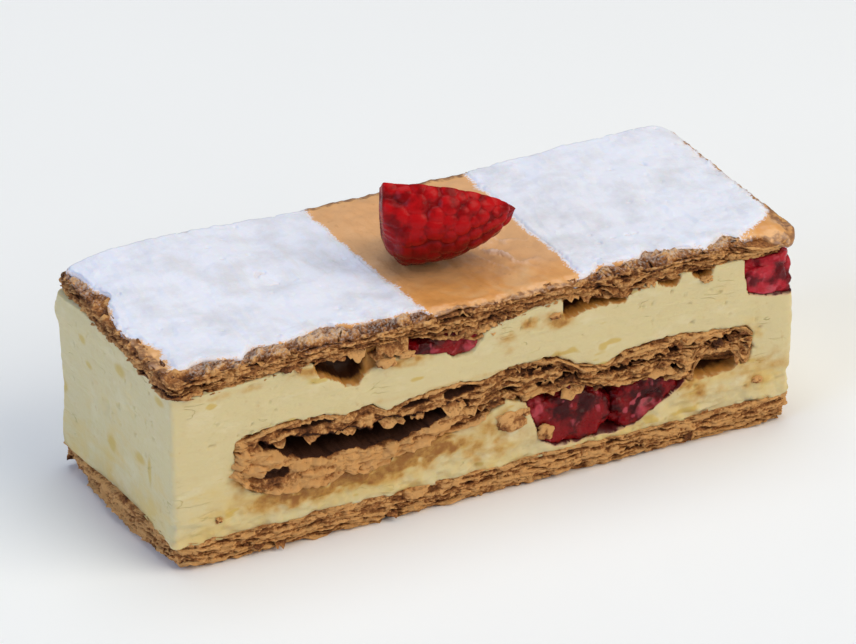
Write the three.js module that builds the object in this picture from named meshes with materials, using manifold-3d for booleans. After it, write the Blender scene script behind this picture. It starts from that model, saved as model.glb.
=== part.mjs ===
// A mille feuille slice: two full sheets of puff pastry with a shorter sheet between them, bedded in
// one block of set custard cream, with crushed raspberries in the cream and half a raspberry on top.
// Millimetres, +Z up. The origin is the middle of the slice's footprint, on the surface it stands on.
// X runs along the slice, and -Y is the cut face that shows the fruit.
import * as THREE from "three";
import { mergeVertices } from "three/addons/utils/BufferGeometryUtils.js";
import Module from "manifold-3d";

const wasm = await Module();
wasm.setup();

// The slice
const SLICE_LENGTH = 120;
const SLICE_WIDTH = 45;
const SLICE_HEIGHT = 38.8;
const BOTTOM_PASTRY_HEIGHT = 5.4;
const TOP_PASTRY_HEIGHT = 5.6;
const CORNER_RADIUS = 3;
const GAP = 0.35; // the clearance left between pieces that touch

const HALF_LENGTH = SLICE_LENGTH / 2;
const HALF_WIDTH = SLICE_WIDTH / 2;
const CREAM_FLOOR = BOTTOM_PASTRY_HEIGHT + GAP;
const CREAM_CEILING = SLICE_HEIGHT - TOP_PASTRY_HEIGHT;
const CREAM_INSET = 0.3; // how far the cream's cut faces lie behind the pastry's edges

// The middle sheet, which stops short of both ends and swells where its leaves have parted
const MIDDLE_START = -48;
const MIDDLE_END = 52.3;
const MIDDLE_TOP = 23;
const MIDDLE_DROP = 1.9; // how much lower its right end lies
const MIDDLE_THICKNESS = 5.6;
const SWELLING = { x: -27, halfLength: 24.5, depth: 7 };

// The raspberries. Each has a middle, an axis that points to its tip, a radius and a length.
const WHOLE_BERRY = { radius: 10.2, length: 23, drupelets: 8, rows: 6 };
const BERRY_SEAT_X = 1.4;
const BERRY_SEAT_Y = -5.2;
const BERRY_TURN = -30.6; // degrees about Z, from +X
const BERRY_CUT_TILT = 47; // degrees that the cut face looks above the horizon
const HOLLOW = { mouth: 0.42, end: 0.12, depth: 0.62 }; // shares of the berry's radius and length

const degrees = Math.PI / 180;

// A smooth, repeatable unevenness between about -1 and 1, with bumps of about the given length.
function unevenness(x, y, bump, seed) {
  const k = (2 * Math.PI) / bump;
  return (
    0.5 * Math.sin(k * x + 0.7 * k * y + 1.3 * seed) +
    0.3 * Math.sin(1.9 * k * x - 1.1 * k * y + 2.1 * seed) +
    0.2 * Math.sin(0.6 * k * x + 2.3 * k * y + 3.7 * seed)
  );
}

// Grid lines from start to end: a few across the rounded corner at each end, and even ones between.
function gridLines(start, end, corner, between) {
  const corners = [0, 0.4].map((share) => share * corner);
  const inner = Array.from(
    { length: between + 1 },
    (_, i) => start + corner + ((end - start - 2 * corner) * i) / between,
  );
  return [
    ...corners.map((c) => start + c),
    ...inner,
    ...corners.reverse().map((c) => end - c),
  ];
}

// Moves a point of a square corner onto a round one: squares about the corner's middle become circles.
function roundCorner(x, y, box, radius) {
  const middleX = Math.min(Math.max(x, box.x0 + radius), box.x1 - radius);
  const middleY = Math.min(Math.max(y, box.y0 + radius), box.y1 - radius);
  const dx = x - middleX;
  const dy = y - middleY;
  const reach = Math.hypot(dx, dy);
  if (reach === 0) return [x, y];
  const share = Math.max(Math.abs(dx), Math.abs(dy)) / reach;
  return [middleX + dx * share, middleY + dy * share];
}

// A closed slab over a grid: top(x, y) and bottom(x, y) give its faces, edge(x, y) how far its outline
// stands out there, and ridge(row, x, y) how far the leaves of its wall stand out.
function slab({ box, corner, across, deep, rows, top, bottom, edge, ridge }) {
  const xs = gridLines(box.x0, box.x1, corner, across);
  const ys = gridLines(box.y0, box.y1, corner, deep);
  const nx = xs.length;
  const ny = ys.length;
  const middle = [(box.x0 + box.x1) / 2, (box.y0 + box.y1) / 2];
  const half = [(box.x1 - box.x0) / 2, (box.y1 - box.y0) / 2];
  const positions = [];
  const indices = [];

  // The outline's unevenness fades out towards the slab's middle.
  const plan = (i, j) => {
    const [x, y] = roundCorner(xs[i], ys[j], box, corner);
    const u = (x - middle[0]) / half[0];
    const v = (y - middle[1]) / half[1];
    const out = edge(x, y);
    return [x + out * u ** 9, y + out * v ** 5];
  };
  for (const face of [top, bottom])
    for (let j = 0; j < ny; j++)
      for (let i = 0; i < nx; i++) {
        const [x, y] = plan(i, j);
        positions.push(x, y, face(x, y));
      }
  const upper = (i, j) => j * nx + i;
  const lower = (i, j) => nx * ny + j * nx + i;
  for (let j = 0; j < ny - 1; j++)
    for (let i = 0; i < nx - 1; i++) {
      const [a, b, c, d] = [[i, j], [i + 1, j], [i + 1, j + 1], [i, j + 1]];
      indices.push(upper(...a), upper(...b), upper(...c), upper(...a), upper(...c), upper(...d));
      indices.push(lower(...a), lower(...c), lower(...b), lower(...a), lower(...d), lower(...c));
    }

  // The wall: the outline, anticlockwise, repeated for each row between the two faces.
  const outline = [];
  for (let i = 0; i < nx - 1; i++) outline.push([i, 0]);
  for (let j = 0; j < ny - 1; j++) outline.push([nx - 1, j]);
  for (let i = nx - 1; i > 0; i--) outline.push([i, ny - 1]);
  for (let j = ny - 1; j > 0; j--) outline.push([0, j]);
  const ring = (row) => {
    if (row === 0) return outline.map(([i, j]) => lower(i, j));
    if (row === rows) return outline.map(([i, j]) => upper(i, j));
    return outline.map(([i, j]) => {
      const [x, y] = plan(i, j);
      const away = new THREE.Vector2(
        i === 0 ? -1 : i === nx - 1 ? 1 : 0,
        j === 0 ? -1 : j === ny - 1 ? 1 : 0,
      ).normalize();
      const out = ridge(row, x, y);
      const z = bottom(x, y) + ((top(x, y) - bottom(x, y)) * row) / rows;
      positions.push(x + away.x * out, y + away.y * out, z);
      return positions.length / 3 - 1;
    });
  };
  let below = ring(0);
  for (let row = 1; row <= rows; row++) {
    const above = ring(row);
    for (let k = 0; k < outline.length; k++) {
      const next = (k + 1) % outline.length;
      indices.push(below[k], below[next], above[next], below[k], above[next], above[k]);
    }
    below = above;
  }
  return new THREE.BufferGeometry()
    .setAttribute("position", new THREE.Float32BufferAttribute(positions, 3))
    .setIndex(indices);
}

// A raspberry on the +Z axis, its tip up: a thimble whose rows of drupelets bulge out of it.
function berry({ radius, length, drupelets, rows }, grow = 0) {
  const BULGE = 0.09;
  const SEGMENTS = 3 * drupelets;
  const RINGS = 2 * rows;
  const [r0, l0] = [radius + grow, length + 2 * grow];
  const positions = [0, 0, -grow];
  const indices = [];
  for (let ring = 0; ring < RINGS; ring++) {
    const t = ring / RINGS;
    const shoulder = 0.8 + 0.2 * Math.sin((Math.PI / 2) * Math.min(1, t / 0.25));
    const thimble = r0 * shoulder * (1 - t ** 2.4) ** 0.6;
    const row = Math.floor(ring / 2);
    for (let s = 0; s < SEGMENTS; s++) {
      const turn = (2 * Math.PI * s) / SEGMENTS;
      const crown = Math.abs(Math.cos((drupelets / 2) * turn + (row % 2) * (Math.PI / 2)));
      const r = thimble * (1 - BULGE * (1 - (ring % 2) * crown));
      positions.push(r * Math.cos(turn), r * Math.sin(turn), l0 * t - grow);
    }
  }
  positions.push(0, 0, l0 - grow);
  const tip = positions.length / 3 - 1;
  const at = (ring, s) => 1 + ring * SEGMENTS + (s % SEGMENTS);
  for (let s = 0; s < SEGMENTS; s++) {
    indices.push(0, at(0, s + 1), at(0, s));
    for (let ring = 0; ring < RINGS - 1; ring++)
      indices.push(
        at(ring, s), at(ring, s + 1), at(ring + 1, s + 1),
        at(ring, s), at(ring + 1, s + 1), at(ring + 1, s),
      );
    indices.push(at(RINGS - 1, s), at(RINGS - 1, s + 1), tip);
  }
  return new THREE.BufferGeometry()
    .setAttribute("position", new THREE.Float32BufferAttribute(positions, 3))
    .setIndex(indices);
}

// A closed geometry, placed by a matrix, as a solid that can be joined and cut.
function solid(geometry, matrix = new THREE.Matrix4()) {
  const bare = geometry.clone().applyMatrix4(matrix);
  bare.deleteAttribute("normal");
  bare.deleteAttribute("uv");
  const merged = mergeVertices(bare, 1e-4);
  return new wasm.Manifold(
    new wasm.Mesh({
      numProp: 3,
      vertProperties: new Float32Array(merged.attributes.position.array),
      triVerts: new Uint32Array(merged.index.array),
    }),
  );
}

function geometryOf(made) {
  const mesh = made.getMesh();
  const positions = new Float32Array(mesh.numVert * 3);
  for (let i = 0; i < mesh.numVert; i++)
    positions.set(mesh.vertProperties.subarray(i * mesh.numProp, i * mesh.numProp + 3), i * 3);
  const geometry = new THREE.BufferGeometry()
    .setAttribute("position", new THREE.BufferAttribute(positions, 3))
    .setIndex(new THREE.BufferAttribute(new Uint32Array(mesh.triVerts), 1));
  geometry.computeVertexNormals();
  return geometry;
}

const placed = (x, y, z) => new THREE.Matrix4().makeTranslation(x, y, z);

// An ellipsoid, for the hollows that steam and broken leaves leave.
function hollow([x, y, z], [rx, ry, rz], tilt = 0) {
  const matrix = placed(x, y, z)
    .multiply(new THREE.Matrix4().makeRotationY(tilt * degrees))
    .multiply(new THREE.Matrix4().makeScale(rx, ry, rz));
  return solid(new THREE.SphereGeometry(1, 10, 6), matrix);
}

// A block with one face on a plane, that reaches far out along the plane's outward direction.
function beyond(point, outward) {
  const REACH = 60;
  const turn = new THREE.Quaternion().setFromUnitVectors(
    new THREE.Vector3(0, 0, 1),
    outward.clone().normalize(),
  );
  const matrix = new THREE.Matrix4()
    .compose(point, turn, new THREE.Vector3(1, 1, 1))
    .multiply(placed(0, 0, REACH / 2));
  return solid(new THREE.BoxGeometry(2 * REACH, 2 * REACH, REACH), matrix);
}

// Heights of the faces that neighbouring pieces share
const creamTop = (x, y) => CREAM_CEILING - GAP + 0.35 * unevenness(x, y, 46, 2);
const topPastryUnderside = (x, y) => creamTop(x, y) + GAP;
const topPastryFace = (x, y) => SLICE_HEIGHT - 0.35 + 0.35 * unevenness(x, y, 38, 5);
const bottomPastryFace = (x, y) => BOTTOM_PASTRY_HEIGHT + 0.3 * unevenness(x, y, 40, 7);
const creamBottom = (x, y) => bottomPastryFace(x, y) + GAP;

const fullBox = { x0: -HALF_LENGTH, x1: HALF_LENGTH, y0: -HALF_WIDTH, y1: HALF_WIDTH };

// Leaves of pastry stand out of a wall by turns.
const leafRidge = (seed) => (row, x, y) =>
  (row % 2 ? -0.6 : -0.1) + 0.25 * unevenness(x, y, 17, seed + row);

function bottomPastry() {
  // The underside is flat, and the left end stands out at its middle and is worn at its back corner.
  const leftEnd = (x, y) => (x < 0 ? 1.3 * Math.cos((y - 4) / 9) : 0);
  return slab({
    box: fullBox, corner: CORNER_RADIUS, across: 18, deep: 5, rows: 4,
    top: bottomPastryFace,
    bottom: () => 0,
    edge: (x, y) => 0.35 * unevenness(x, y, 23, 1) + leftEnd(x, y),
    ridge: leafRidge(11),
  });
}

function topPastry() {
  return slab({
    box: fullBox, corner: CORNER_RADIUS, across: 18, deep: 5, rows: 4,
    top: topPastryFace,
    bottom: topPastryUnderside,
    edge: (x, y) => 0.45 * unevenness(x, y, 27, 3),
    ridge: leafRidge(13),
  });
}

// The middle sheet. With grow it is the slot that the cream leaves for it, which runs out of both sides.
function middleSheet(grow = 0) {
  const sides = grow ? 3 : -0.2;
  const swell = (x) => {
    const u = (x - SWELLING.x) / (SWELLING.halfLength + 1.5 * grow);
    return SWELLING.depth * Math.exp(-(u ** 4));
  };
  const face = (x, y) => {
    const along = (x - MIDDLE_START) / (MIDDLE_END - MIDDLE_START);
    return MIDDLE_TOP - MIDDLE_DROP * along + 0.7 * unevenness(x, 0.3 * y, 31, 4);
  };
  return slab({
    box: {
      x0: MIDDLE_START - grow, x1: MIDDLE_END + grow,
      y0: -HALF_WIDTH - sides, y1: HALF_WIDTH + sides,
    },
    corner: 1.5, across: 18, deep: 4, rows: 4,
    top: (x, y) => face(x, y) + grow,
    bottom: (x, y) =>
      face(x, y) - MIDDLE_THICKNESS - swell(x) - 0.35 * unevenness(x, 0.3 * y, 29, 6) - grow,
    edge: () => 0,
    ridge: grow ? () => 0 : leafRidge(17),
  });
}

// Where the middle sheet's leaves have parted, on both cut faces
const partedLeaves = () => [
  hollow([-26, -HALF_WIDTH, 18.3], [18.5, 12, 1.65], 4),
  hollow([-2, -HALF_WIDTH, 18.9], [5, 5, 0.9], -3),
  hollow([18, HALF_WIDTH, 19.2], [16, 9, 1.2], 2),
];

// Where the cream doesn't reach the sheet above it, on both cut faces
const creamHollows = () => [
  hollow([-24, -HALF_WIDTH, 32.6], [9.5, 7, 3.7]),
  hollow([21.5, -HALF_WIDTH, 32.6], [6.6, 6, 2.6]),
  hollow([41, -HALF_WIDTH, 33], [2.8, 4, 1.6]),
  hollow([45.4, -HALF_WIDTH, 14.4], [5.2, 6, 2.2], 12),
  hollow([14, HALF_WIDTH, 32.8], [9, 6, 2.6]),
  hollow([-38, HALF_WIDTH, 32.8], [7, 5, 2.2]),
];

// The berries crushed in the cream: name, middle, direction of the tip, size, and how flat they are.
const CRUSHED_BERRIES = [
  { name: "raspberry_corner", at: [56.4, -17, 30.8], tip: [0.3, 0.75, -0.6], radius: 7.4, length: 15 },
  { name: "raspberry_upper", at: [-9, -18.6, 33.6], tip: [-1, 0.15, 0], radius: 5.8, length: 18 },
  { name: "raspberry_lower_left", at: [15, -18.4, 11.9], tip: [-1, 0.2, 0.12], radius: 5.5, length: 17 },
  { name: "raspberry_lower_right", at: [32.3, -18.6, 11.3], tip: [1, 0.1, 0.2], radius: 4.3, length: 13.8 },
];

function crushedBerry({ at, tip, radius, length }, grow = 0) {
  const size = { radius, length, drupelets: 6, rows: 4 };
  const turn = new THREE.Quaternion().setFromUnitVectors(
    new THREE.Vector3(0, 0, 1),
    new THREE.Vector3(...tip).normalize(),
  );
  const matrix = new THREE.Matrix4()
    .compose(new THREE.Vector3(...at), turn, new THREE.Vector3(1, 1, 1))
    .multiply(placed(0, 0, -length / 2));
  return solid(berry(size, grow), matrix);
}

// What the knife took off: the front of every crushed berry, and the end of the one in the corner.
const CUT_DEPTH = 0.5;
const knifeCuts = () => [
  beyond(new THREE.Vector3(0, -HALF_WIDTH + CUT_DEPTH, 0), new THREE.Vector3(0, -1, 0)),
  beyond(new THREE.Vector3(HALF_LENGTH - CUT_DEPTH, 0, 0), new THREE.Vector3(1, 0, 0)),
];

// The half raspberry lies on its round side, its cut face looking up and away from the front.
function halfBerry() {
  const axis = new THREE.Vector3(Math.cos(BERRY_TURN * degrees), Math.sin(BERRY_TURN * degrees), 0);
  const back = new THREE.Vector3(-axis.y, axis.x, 0);
  const tilt = BERRY_CUT_TILT * degrees;
  const cutNormal = back.multiplyScalar(Math.cos(tilt)).add(new THREE.Vector3(0, 0, Math.sin(tilt)));
  const seat = topPastryFace(BERRY_SEAT_X, BERRY_SEAT_Y) + 0.4 + WHOLE_BERRY.radius;
  const centre = new THREE.Vector3(BERRY_SEAT_X, BERRY_SEAT_Y, seat);
  const turn = new THREE.Quaternion().setFromUnitVectors(new THREE.Vector3(0, 0, 1), axis);
  const matrix = new THREE.Matrix4()
    .compose(centre, turn, new THREE.Vector3(1, 1, 1))
    .multiply(placed(0, 0, -WHOLE_BERRY.length / 2));
  const depth = HOLLOW.depth * WHOLE_BERRY.length;
  const core = new THREE.CylinderGeometry(
    HOLLOW.end * WHOLE_BERRY.radius, HOLLOW.mouth * WHOLE_BERRY.radius, depth + 2, 12,
  ).rotateX(Math.PI / 2);
  return solid(berry(WHOLE_BERRY), matrix)
    .subtract(beyond(centre, cutNormal))
    .subtract(solid(core, matrix.clone().multiply(placed(0, 0, depth / 2 - 1))));
}

const subtractAll = (body, tools) => tools.reduce((left, tool) => left.subtract(tool), body);

function cream() {
  const inset = CREAM_INSET;
  const block = slab({
    box: {
      x0: -HALF_LENGTH + inset, x1: HALF_LENGTH - inset,
      y0: -HALF_WIDTH + inset, y1: HALF_WIDTH - inset,
    },
    corner: 1.6, across: 15, deep: 4, rows: 4,
    top: creamTop,
    bottom: creamBottom,
    edge: (x, y) => 0.15 * unevenness(x, y, 33, 9),
    ridge: (row, x, y) => 0.12 * unevenness(x, y + 4 * row, 37, 8),
  });
  return subtractAll(solid(block), [
    solid(middleSheet(GAP)),
    ...creamHollows(),
    ...CRUSHED_BERRIES.map((b) => crushedBerry(b, GAP)),
  ]);
}

function middlePastry() {
  return subtractAll(solid(middleSheet()), [
    ...partedLeaves(),
    ...CRUSHED_BERRIES.map((b) => crushedBerry(b, GAP)),
  ]);
}

// The sheet above keeps its own room: a berry ends under it.
function trimmedBerry(b) {
  const lid = slab({
    box: { x0: -HALF_LENGTH - 5, x1: HALF_LENGTH + 5, y0: -HALF_WIDTH - 5, y1: HALF_WIDTH + 5 },
    corner: 1, across: 40, deep: 16, rows: 1,
    top: () => SLICE_HEIGHT + 20,
    bottom: (x, y) => creamTop(x, y) - 0.05,
    edge: () => 0,
    ridge: () => 0,
  });
  return subtractAll(crushedBerry(b), [...knifeCuts(), solid(lid)]);
}

const baked = { roughness: 0.75, metalness: 0 };
const set = { roughness: 0.5, metalness: 0 };
const juicy = { roughness: 0.3, metalness: 0 };

const slice = new THREE.Group();

function add(name, geometry, look) {
  const mesh = new THREE.Mesh(geometry, new THREE.MeshStandardMaterial(look));
  mesh.name = name;
  slice.add(mesh);
}

add("pastry_bottom", bottomPastry(), { color: 0xa46e47, ...baked });
add("cream", geometryOf(cream()), { color: 0xd7c699, ...set });
add("pastry_middle", geometryOf(middlePastry()), { color: 0x9c6a3d, ...baked });
add("pastry_top", topPastry(), { color: 0xd9934e, ...baked });
for (const b of CRUSHED_BERRIES) add(b.name, geometryOf(trimmedBerry(b)), { color: 0x8e3a35, ...juicy });
add("raspberry_half", geometryOf(halfBerry()), { color: 0xa2161c, ...juicy });

// The origin goes to the middle of the footprint.
const bounds = new THREE.Box3().setFromObject(slice);
const middle = bounds.getCenter(new THREE.Vector3());
slice.position.set(-middle.x, -middle.y, -bounds.min.z);

export default slice;
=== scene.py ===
import bmesh
import bpy
import numpy as np
from mathutils import Matrix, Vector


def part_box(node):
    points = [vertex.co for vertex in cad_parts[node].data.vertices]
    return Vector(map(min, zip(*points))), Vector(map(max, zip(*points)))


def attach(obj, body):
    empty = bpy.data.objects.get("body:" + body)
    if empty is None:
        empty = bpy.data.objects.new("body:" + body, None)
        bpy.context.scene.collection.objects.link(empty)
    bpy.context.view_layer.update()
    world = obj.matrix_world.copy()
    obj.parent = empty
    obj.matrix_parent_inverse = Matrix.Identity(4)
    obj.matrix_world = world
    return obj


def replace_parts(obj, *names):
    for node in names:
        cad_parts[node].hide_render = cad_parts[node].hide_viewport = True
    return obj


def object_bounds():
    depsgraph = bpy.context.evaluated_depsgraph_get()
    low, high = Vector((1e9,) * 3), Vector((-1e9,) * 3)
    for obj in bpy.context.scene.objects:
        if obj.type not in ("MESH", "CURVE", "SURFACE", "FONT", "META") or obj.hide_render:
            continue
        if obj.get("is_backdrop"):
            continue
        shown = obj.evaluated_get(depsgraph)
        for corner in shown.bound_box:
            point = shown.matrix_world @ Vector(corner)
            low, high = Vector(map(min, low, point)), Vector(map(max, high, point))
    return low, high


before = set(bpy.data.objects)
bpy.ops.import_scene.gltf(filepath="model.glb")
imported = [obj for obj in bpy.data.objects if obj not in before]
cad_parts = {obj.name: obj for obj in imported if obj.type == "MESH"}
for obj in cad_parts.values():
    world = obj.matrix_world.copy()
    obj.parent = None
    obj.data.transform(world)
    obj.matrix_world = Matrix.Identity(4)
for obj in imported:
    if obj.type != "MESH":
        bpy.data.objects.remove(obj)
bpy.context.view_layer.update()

# ---------------------------------------------------------------------------------------------------
# The bottom sheet: puff pastry rolled thin, baked between trays and cut to size with a saw knife. Its
# cut sides show the baked leaves, and it stands out a little from under the cream at the left end.

MM = 0.001  # sizes are in millimetres, measured from the middle of the slice's footprint
MIDDLE = np.mean(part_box("cream"), axis=0) / MM * [1, 1, 0]
PROUD = 0.3  # how far the sheets stand out from the cream on each side


def box_of(node):
    """A CAD piece's lowest and highest corners, in millimetres."""
    return [np.array(corner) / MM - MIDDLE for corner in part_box(node)]


cream_low, cream_high = box_of("cream")
HALF_LENGTH, HALF_WIDTH = cream_high[:2] + PROUD


def from_edge(x, y):
    """How far inside the footprint's nearest edge each place lies."""
    return np.minimum(HALF_LENGTH - np.abs(x), HALF_WIDTH - np.abs(y))


def ease(value, start, end):
    """0 before start, 1 after end, and a smooth step between them."""
    share = np.clip((value - start) / (end - start), 0, 1)
    return share * share * (3 - 2 * share)


def lumps(u, v, seed, octaves=1, around=256, blend=0.5):
    """Smooth random heights, about -1 to 1: chance numbers at whole steps of u and v, blended by a smooth
    step. Each further octave is twice as fine and half as high. u repeats after `around` steps. A blend
    under a half leaves level chips with steep sides."""
    u, v = np.broadcast_arrays(np.asarray(u, float), np.asarray(v, float))
    total = np.zeros(u.shape)
    for octave in range(octaves):
        fine = 2**octave
        chance = np.random.default_rng((seed, octave)).uniform(-1, 1, (around * fine, 256))
        column, row = np.floor(u * fine).astype(int), np.floor(v * fine).astype(int)
        across = ease(u * fine - column, 0.5 - blend, 0.5 + blend)
        up = ease(v * fine - row, 0.5 - blend, 0.5 + blend)
        left, right = column % (around * fine), (column + 1) % (around * fine)
        low = chance[left, row % 256] * (1 - across) + chance[right, row % 256] * across
        high = chance[left, (row + 1) % 256] * (1 - across) + chance[right, (row + 1) % 256] * across
        total += (low * (1 - up) + high * up) / fine
    return total


class Outline:
    """Even steps round a rectangle with round corners, anticlockwise from above: the places x and y, the
    directions out of it, and turn, the share of the way round. The corners' radii are those of the front
    right, back right, back left and front left ones."""

    def __init__(self, low, high, radii, step):
        swing = np.radians(np.linspace(0, 90, 12))
        place, out = [], []
        for corner, radius in enumerate(radii):
            angle = swing + np.radians(90 * corner - 90)
            heading = np.stack([np.cos(angle), np.sin(angle)], 1)
            far = [corner < 2, corner in (1, 2)]
            place.append(np.where(far, high - radius, low + radius) + radius * heading)
            out.append(heading)
        place, out = np.vstack([*place, place[0][:1]]), np.vstack([*out, out[0][:1]])
        way = np.concatenate([[0], np.cumsum(np.linalg.norm(np.diff(place, axis=0), axis=1))])
        self.length = way[-1]
        self.turn = np.arange(round(self.length / step)) / round(self.length / step)
        self.x, self.y = (np.interp(self.turn * self.length, way, place[:, i]) for i in (0, 1))
        out_x, out_y = (np.interp(self.turn * self.length, way, out[:, i]) for i in (0, 1))
        self.out_x, self.out_y = out_x / np.hypot(out_x, out_y), out_y / np.hypot(out_x, out_y)

    def wall(self, out, height):
        """Points at the given heights that stand out from the outline by the given distances."""
        return np.stack([self.x + self.out_x * out, self.y + self.out_y * out, height + 0 * self.x], -1)


LEAF_STEP = 0.3  # how far apart the points of a wall of leaves are, along it
LEAF_BUMPS = (14, 3.6, 1.1, 0.5)  # how long slow waves, ragged edges, crumbs and grit are along a leaf


def leaf_relief(turn, length, level, seed, ragged=0.5, gaping=1.1, crumbly=0.7):
    """How far a wall of baked leaves stands out, in millimetres. level is the height counted in leaves,
    and slow waves warp it. Each leaf stands out by its own random amount along the wall. Here and there a
    lens-shaped gap parts it from the next, and elsewhere only a fine line. Crumbs and grit roughen it."""
    slow, quick, fine, grit = (max(1, round(length / bump)) for bump in LEAF_BUMPS)
    level = level + 1.1 * lumps(turn * slow, level / 5, seed, 3, slow)
    leaf, joint = np.floor(level), np.round(level)
    own = lumps(turn * quick, leaf, seed + 1, 3, quick, 0.16)
    parted = ease(lumps(turn * quick, joint, seed + 2, 2, quick), 0.3, 0.8)
    groove = (0.14 + gaping * parted) * (1 - ease(np.abs(level - joint), 0.04, 0.16 + 0.34 * parted))
    crumbs = crumbly * (np.abs(lumps(turn * fine, level * 0.9, seed + 3, 2, fine)) - 0.36)
    crumbs = crumbs + 0.16 * lumps(turn * grit, level * 2.1, seed + 4, 2, grit)
    return ragged * own - groove + crumbs


def ringed_body(rings, ends):
    """The points and faces of bodies whose rings turn anticlockwise as they rise (bodies x rings x steps
    x 3), each closed by a point below and a point above (bodies x 2 x 3)."""
    bodies, rows, steps = rings.shape[:3]
    start = np.arange(bodies)[:, None, None] * rows * steps
    row, step = np.arange(rows - 1)[None, :, None], np.arange(steps)[None, None, :]
    here, after = start + row * steps + step, start + row * steps + (step + 1) % steps
    walls = np.stack([here, after, after + steps, here + steps], -1).reshape(-1, 4)
    foot, top = start[:, 0], start[:, 0] + (rows - 1) * steps
    step, after = step[0], (step[0] + 1) % steps
    first = bodies * rows * steps + 2 * np.arange(bodies)[:, None] + 0 * step
    under = np.stack([first, foot + after, foot + step], -1).reshape(-1, 3)
    over = np.stack([first + 1, top + step, top + after], -1).reshape(-1, 3)
    points = np.vstack([rings.reshape(-1, 3), ends.reshape(-1, 3)])
    return points, walls.tolist() + under.tolist() + over.tolist()


def in_scene(name, data):
    """A new object in the scene, at the origin."""
    made = bpy.data.objects.new(name, data)
    bpy.context.scene.collection.objects.link(made)
    return made


def put_mesh(name, body, finish, marks=None, merge=False):
    """A smooth mesh object from points in millimetres and faces. marks are numbers that the finish reads
    at each point, by name. merge joins points that coincide."""
    points, faces = body
    mesh = bpy.data.meshes.new(name)
    mesh.from_pydata(((points + MIDDLE) * MM).tolist(), [], faces)
    for mark, values in (marks or {}).items():
        attribute = mesh.attributes.new(mark, "FLOAT", "POINT")
        attribute.data.foreach_set("value", np.asarray(values, np.float32).ravel())
    if merge:
        work = bmesh.new()
        work.from_mesh(mesh)
        bmesh.ops.remove_doubles(work, verts=work.verts, dist=0.002 * MM)
        bmesh.ops.recalc_face_normals(work, faces=work.faces)
        work.to_mesh(mesh)
        work.free()
    mesh.shade_smooth()
    mesh.materials.append(finish.material)
    piece = in_scene(name, mesh)
    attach(piece, "root")
    return piece


class Value:
    """A number in a finish. + - * / with another, or with a plain number, add Math nodes."""

    def __init__(self, finish, socket):
        self.finish, self.socket = finish, socket

    def math(self, operation, *others, **settings):
        """The value after one Math node."""
        inputs = dict(enumerate([self, *others]))
        return self.finish.node("ShaderNodeMath", dict(operation=operation, **settings), inputs)

    def __add__(self, other):
        return self.math("ADD", other)

    def __sub__(self, other):
        return self.math("SUBTRACT", other)

    def __rsub__(self, other):
        return (self * -1).math("ADD", other)

    def __mul__(self, other):
        return self.math("MULTIPLY", other)

    def __truediv__(self, other):
        return self.math("DIVIDE", other)

    __radd__, __rmul__ = __add__, __mul__

    def clip(self):
        """The value, held between 0 and 1."""
        return self.math("ADD", 0, use_clamp=True)

    def step(self, start, end):
        """0 before start, 1 after end, and a smooth step between them."""
        settings = {"interpolation_type": "SMOOTHSTEP"}
        inputs = {"Value": self, "From Min": start, "From Max": end}
        return self.finish.node("ShaderNodeMapRange", settings, inputs)


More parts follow.
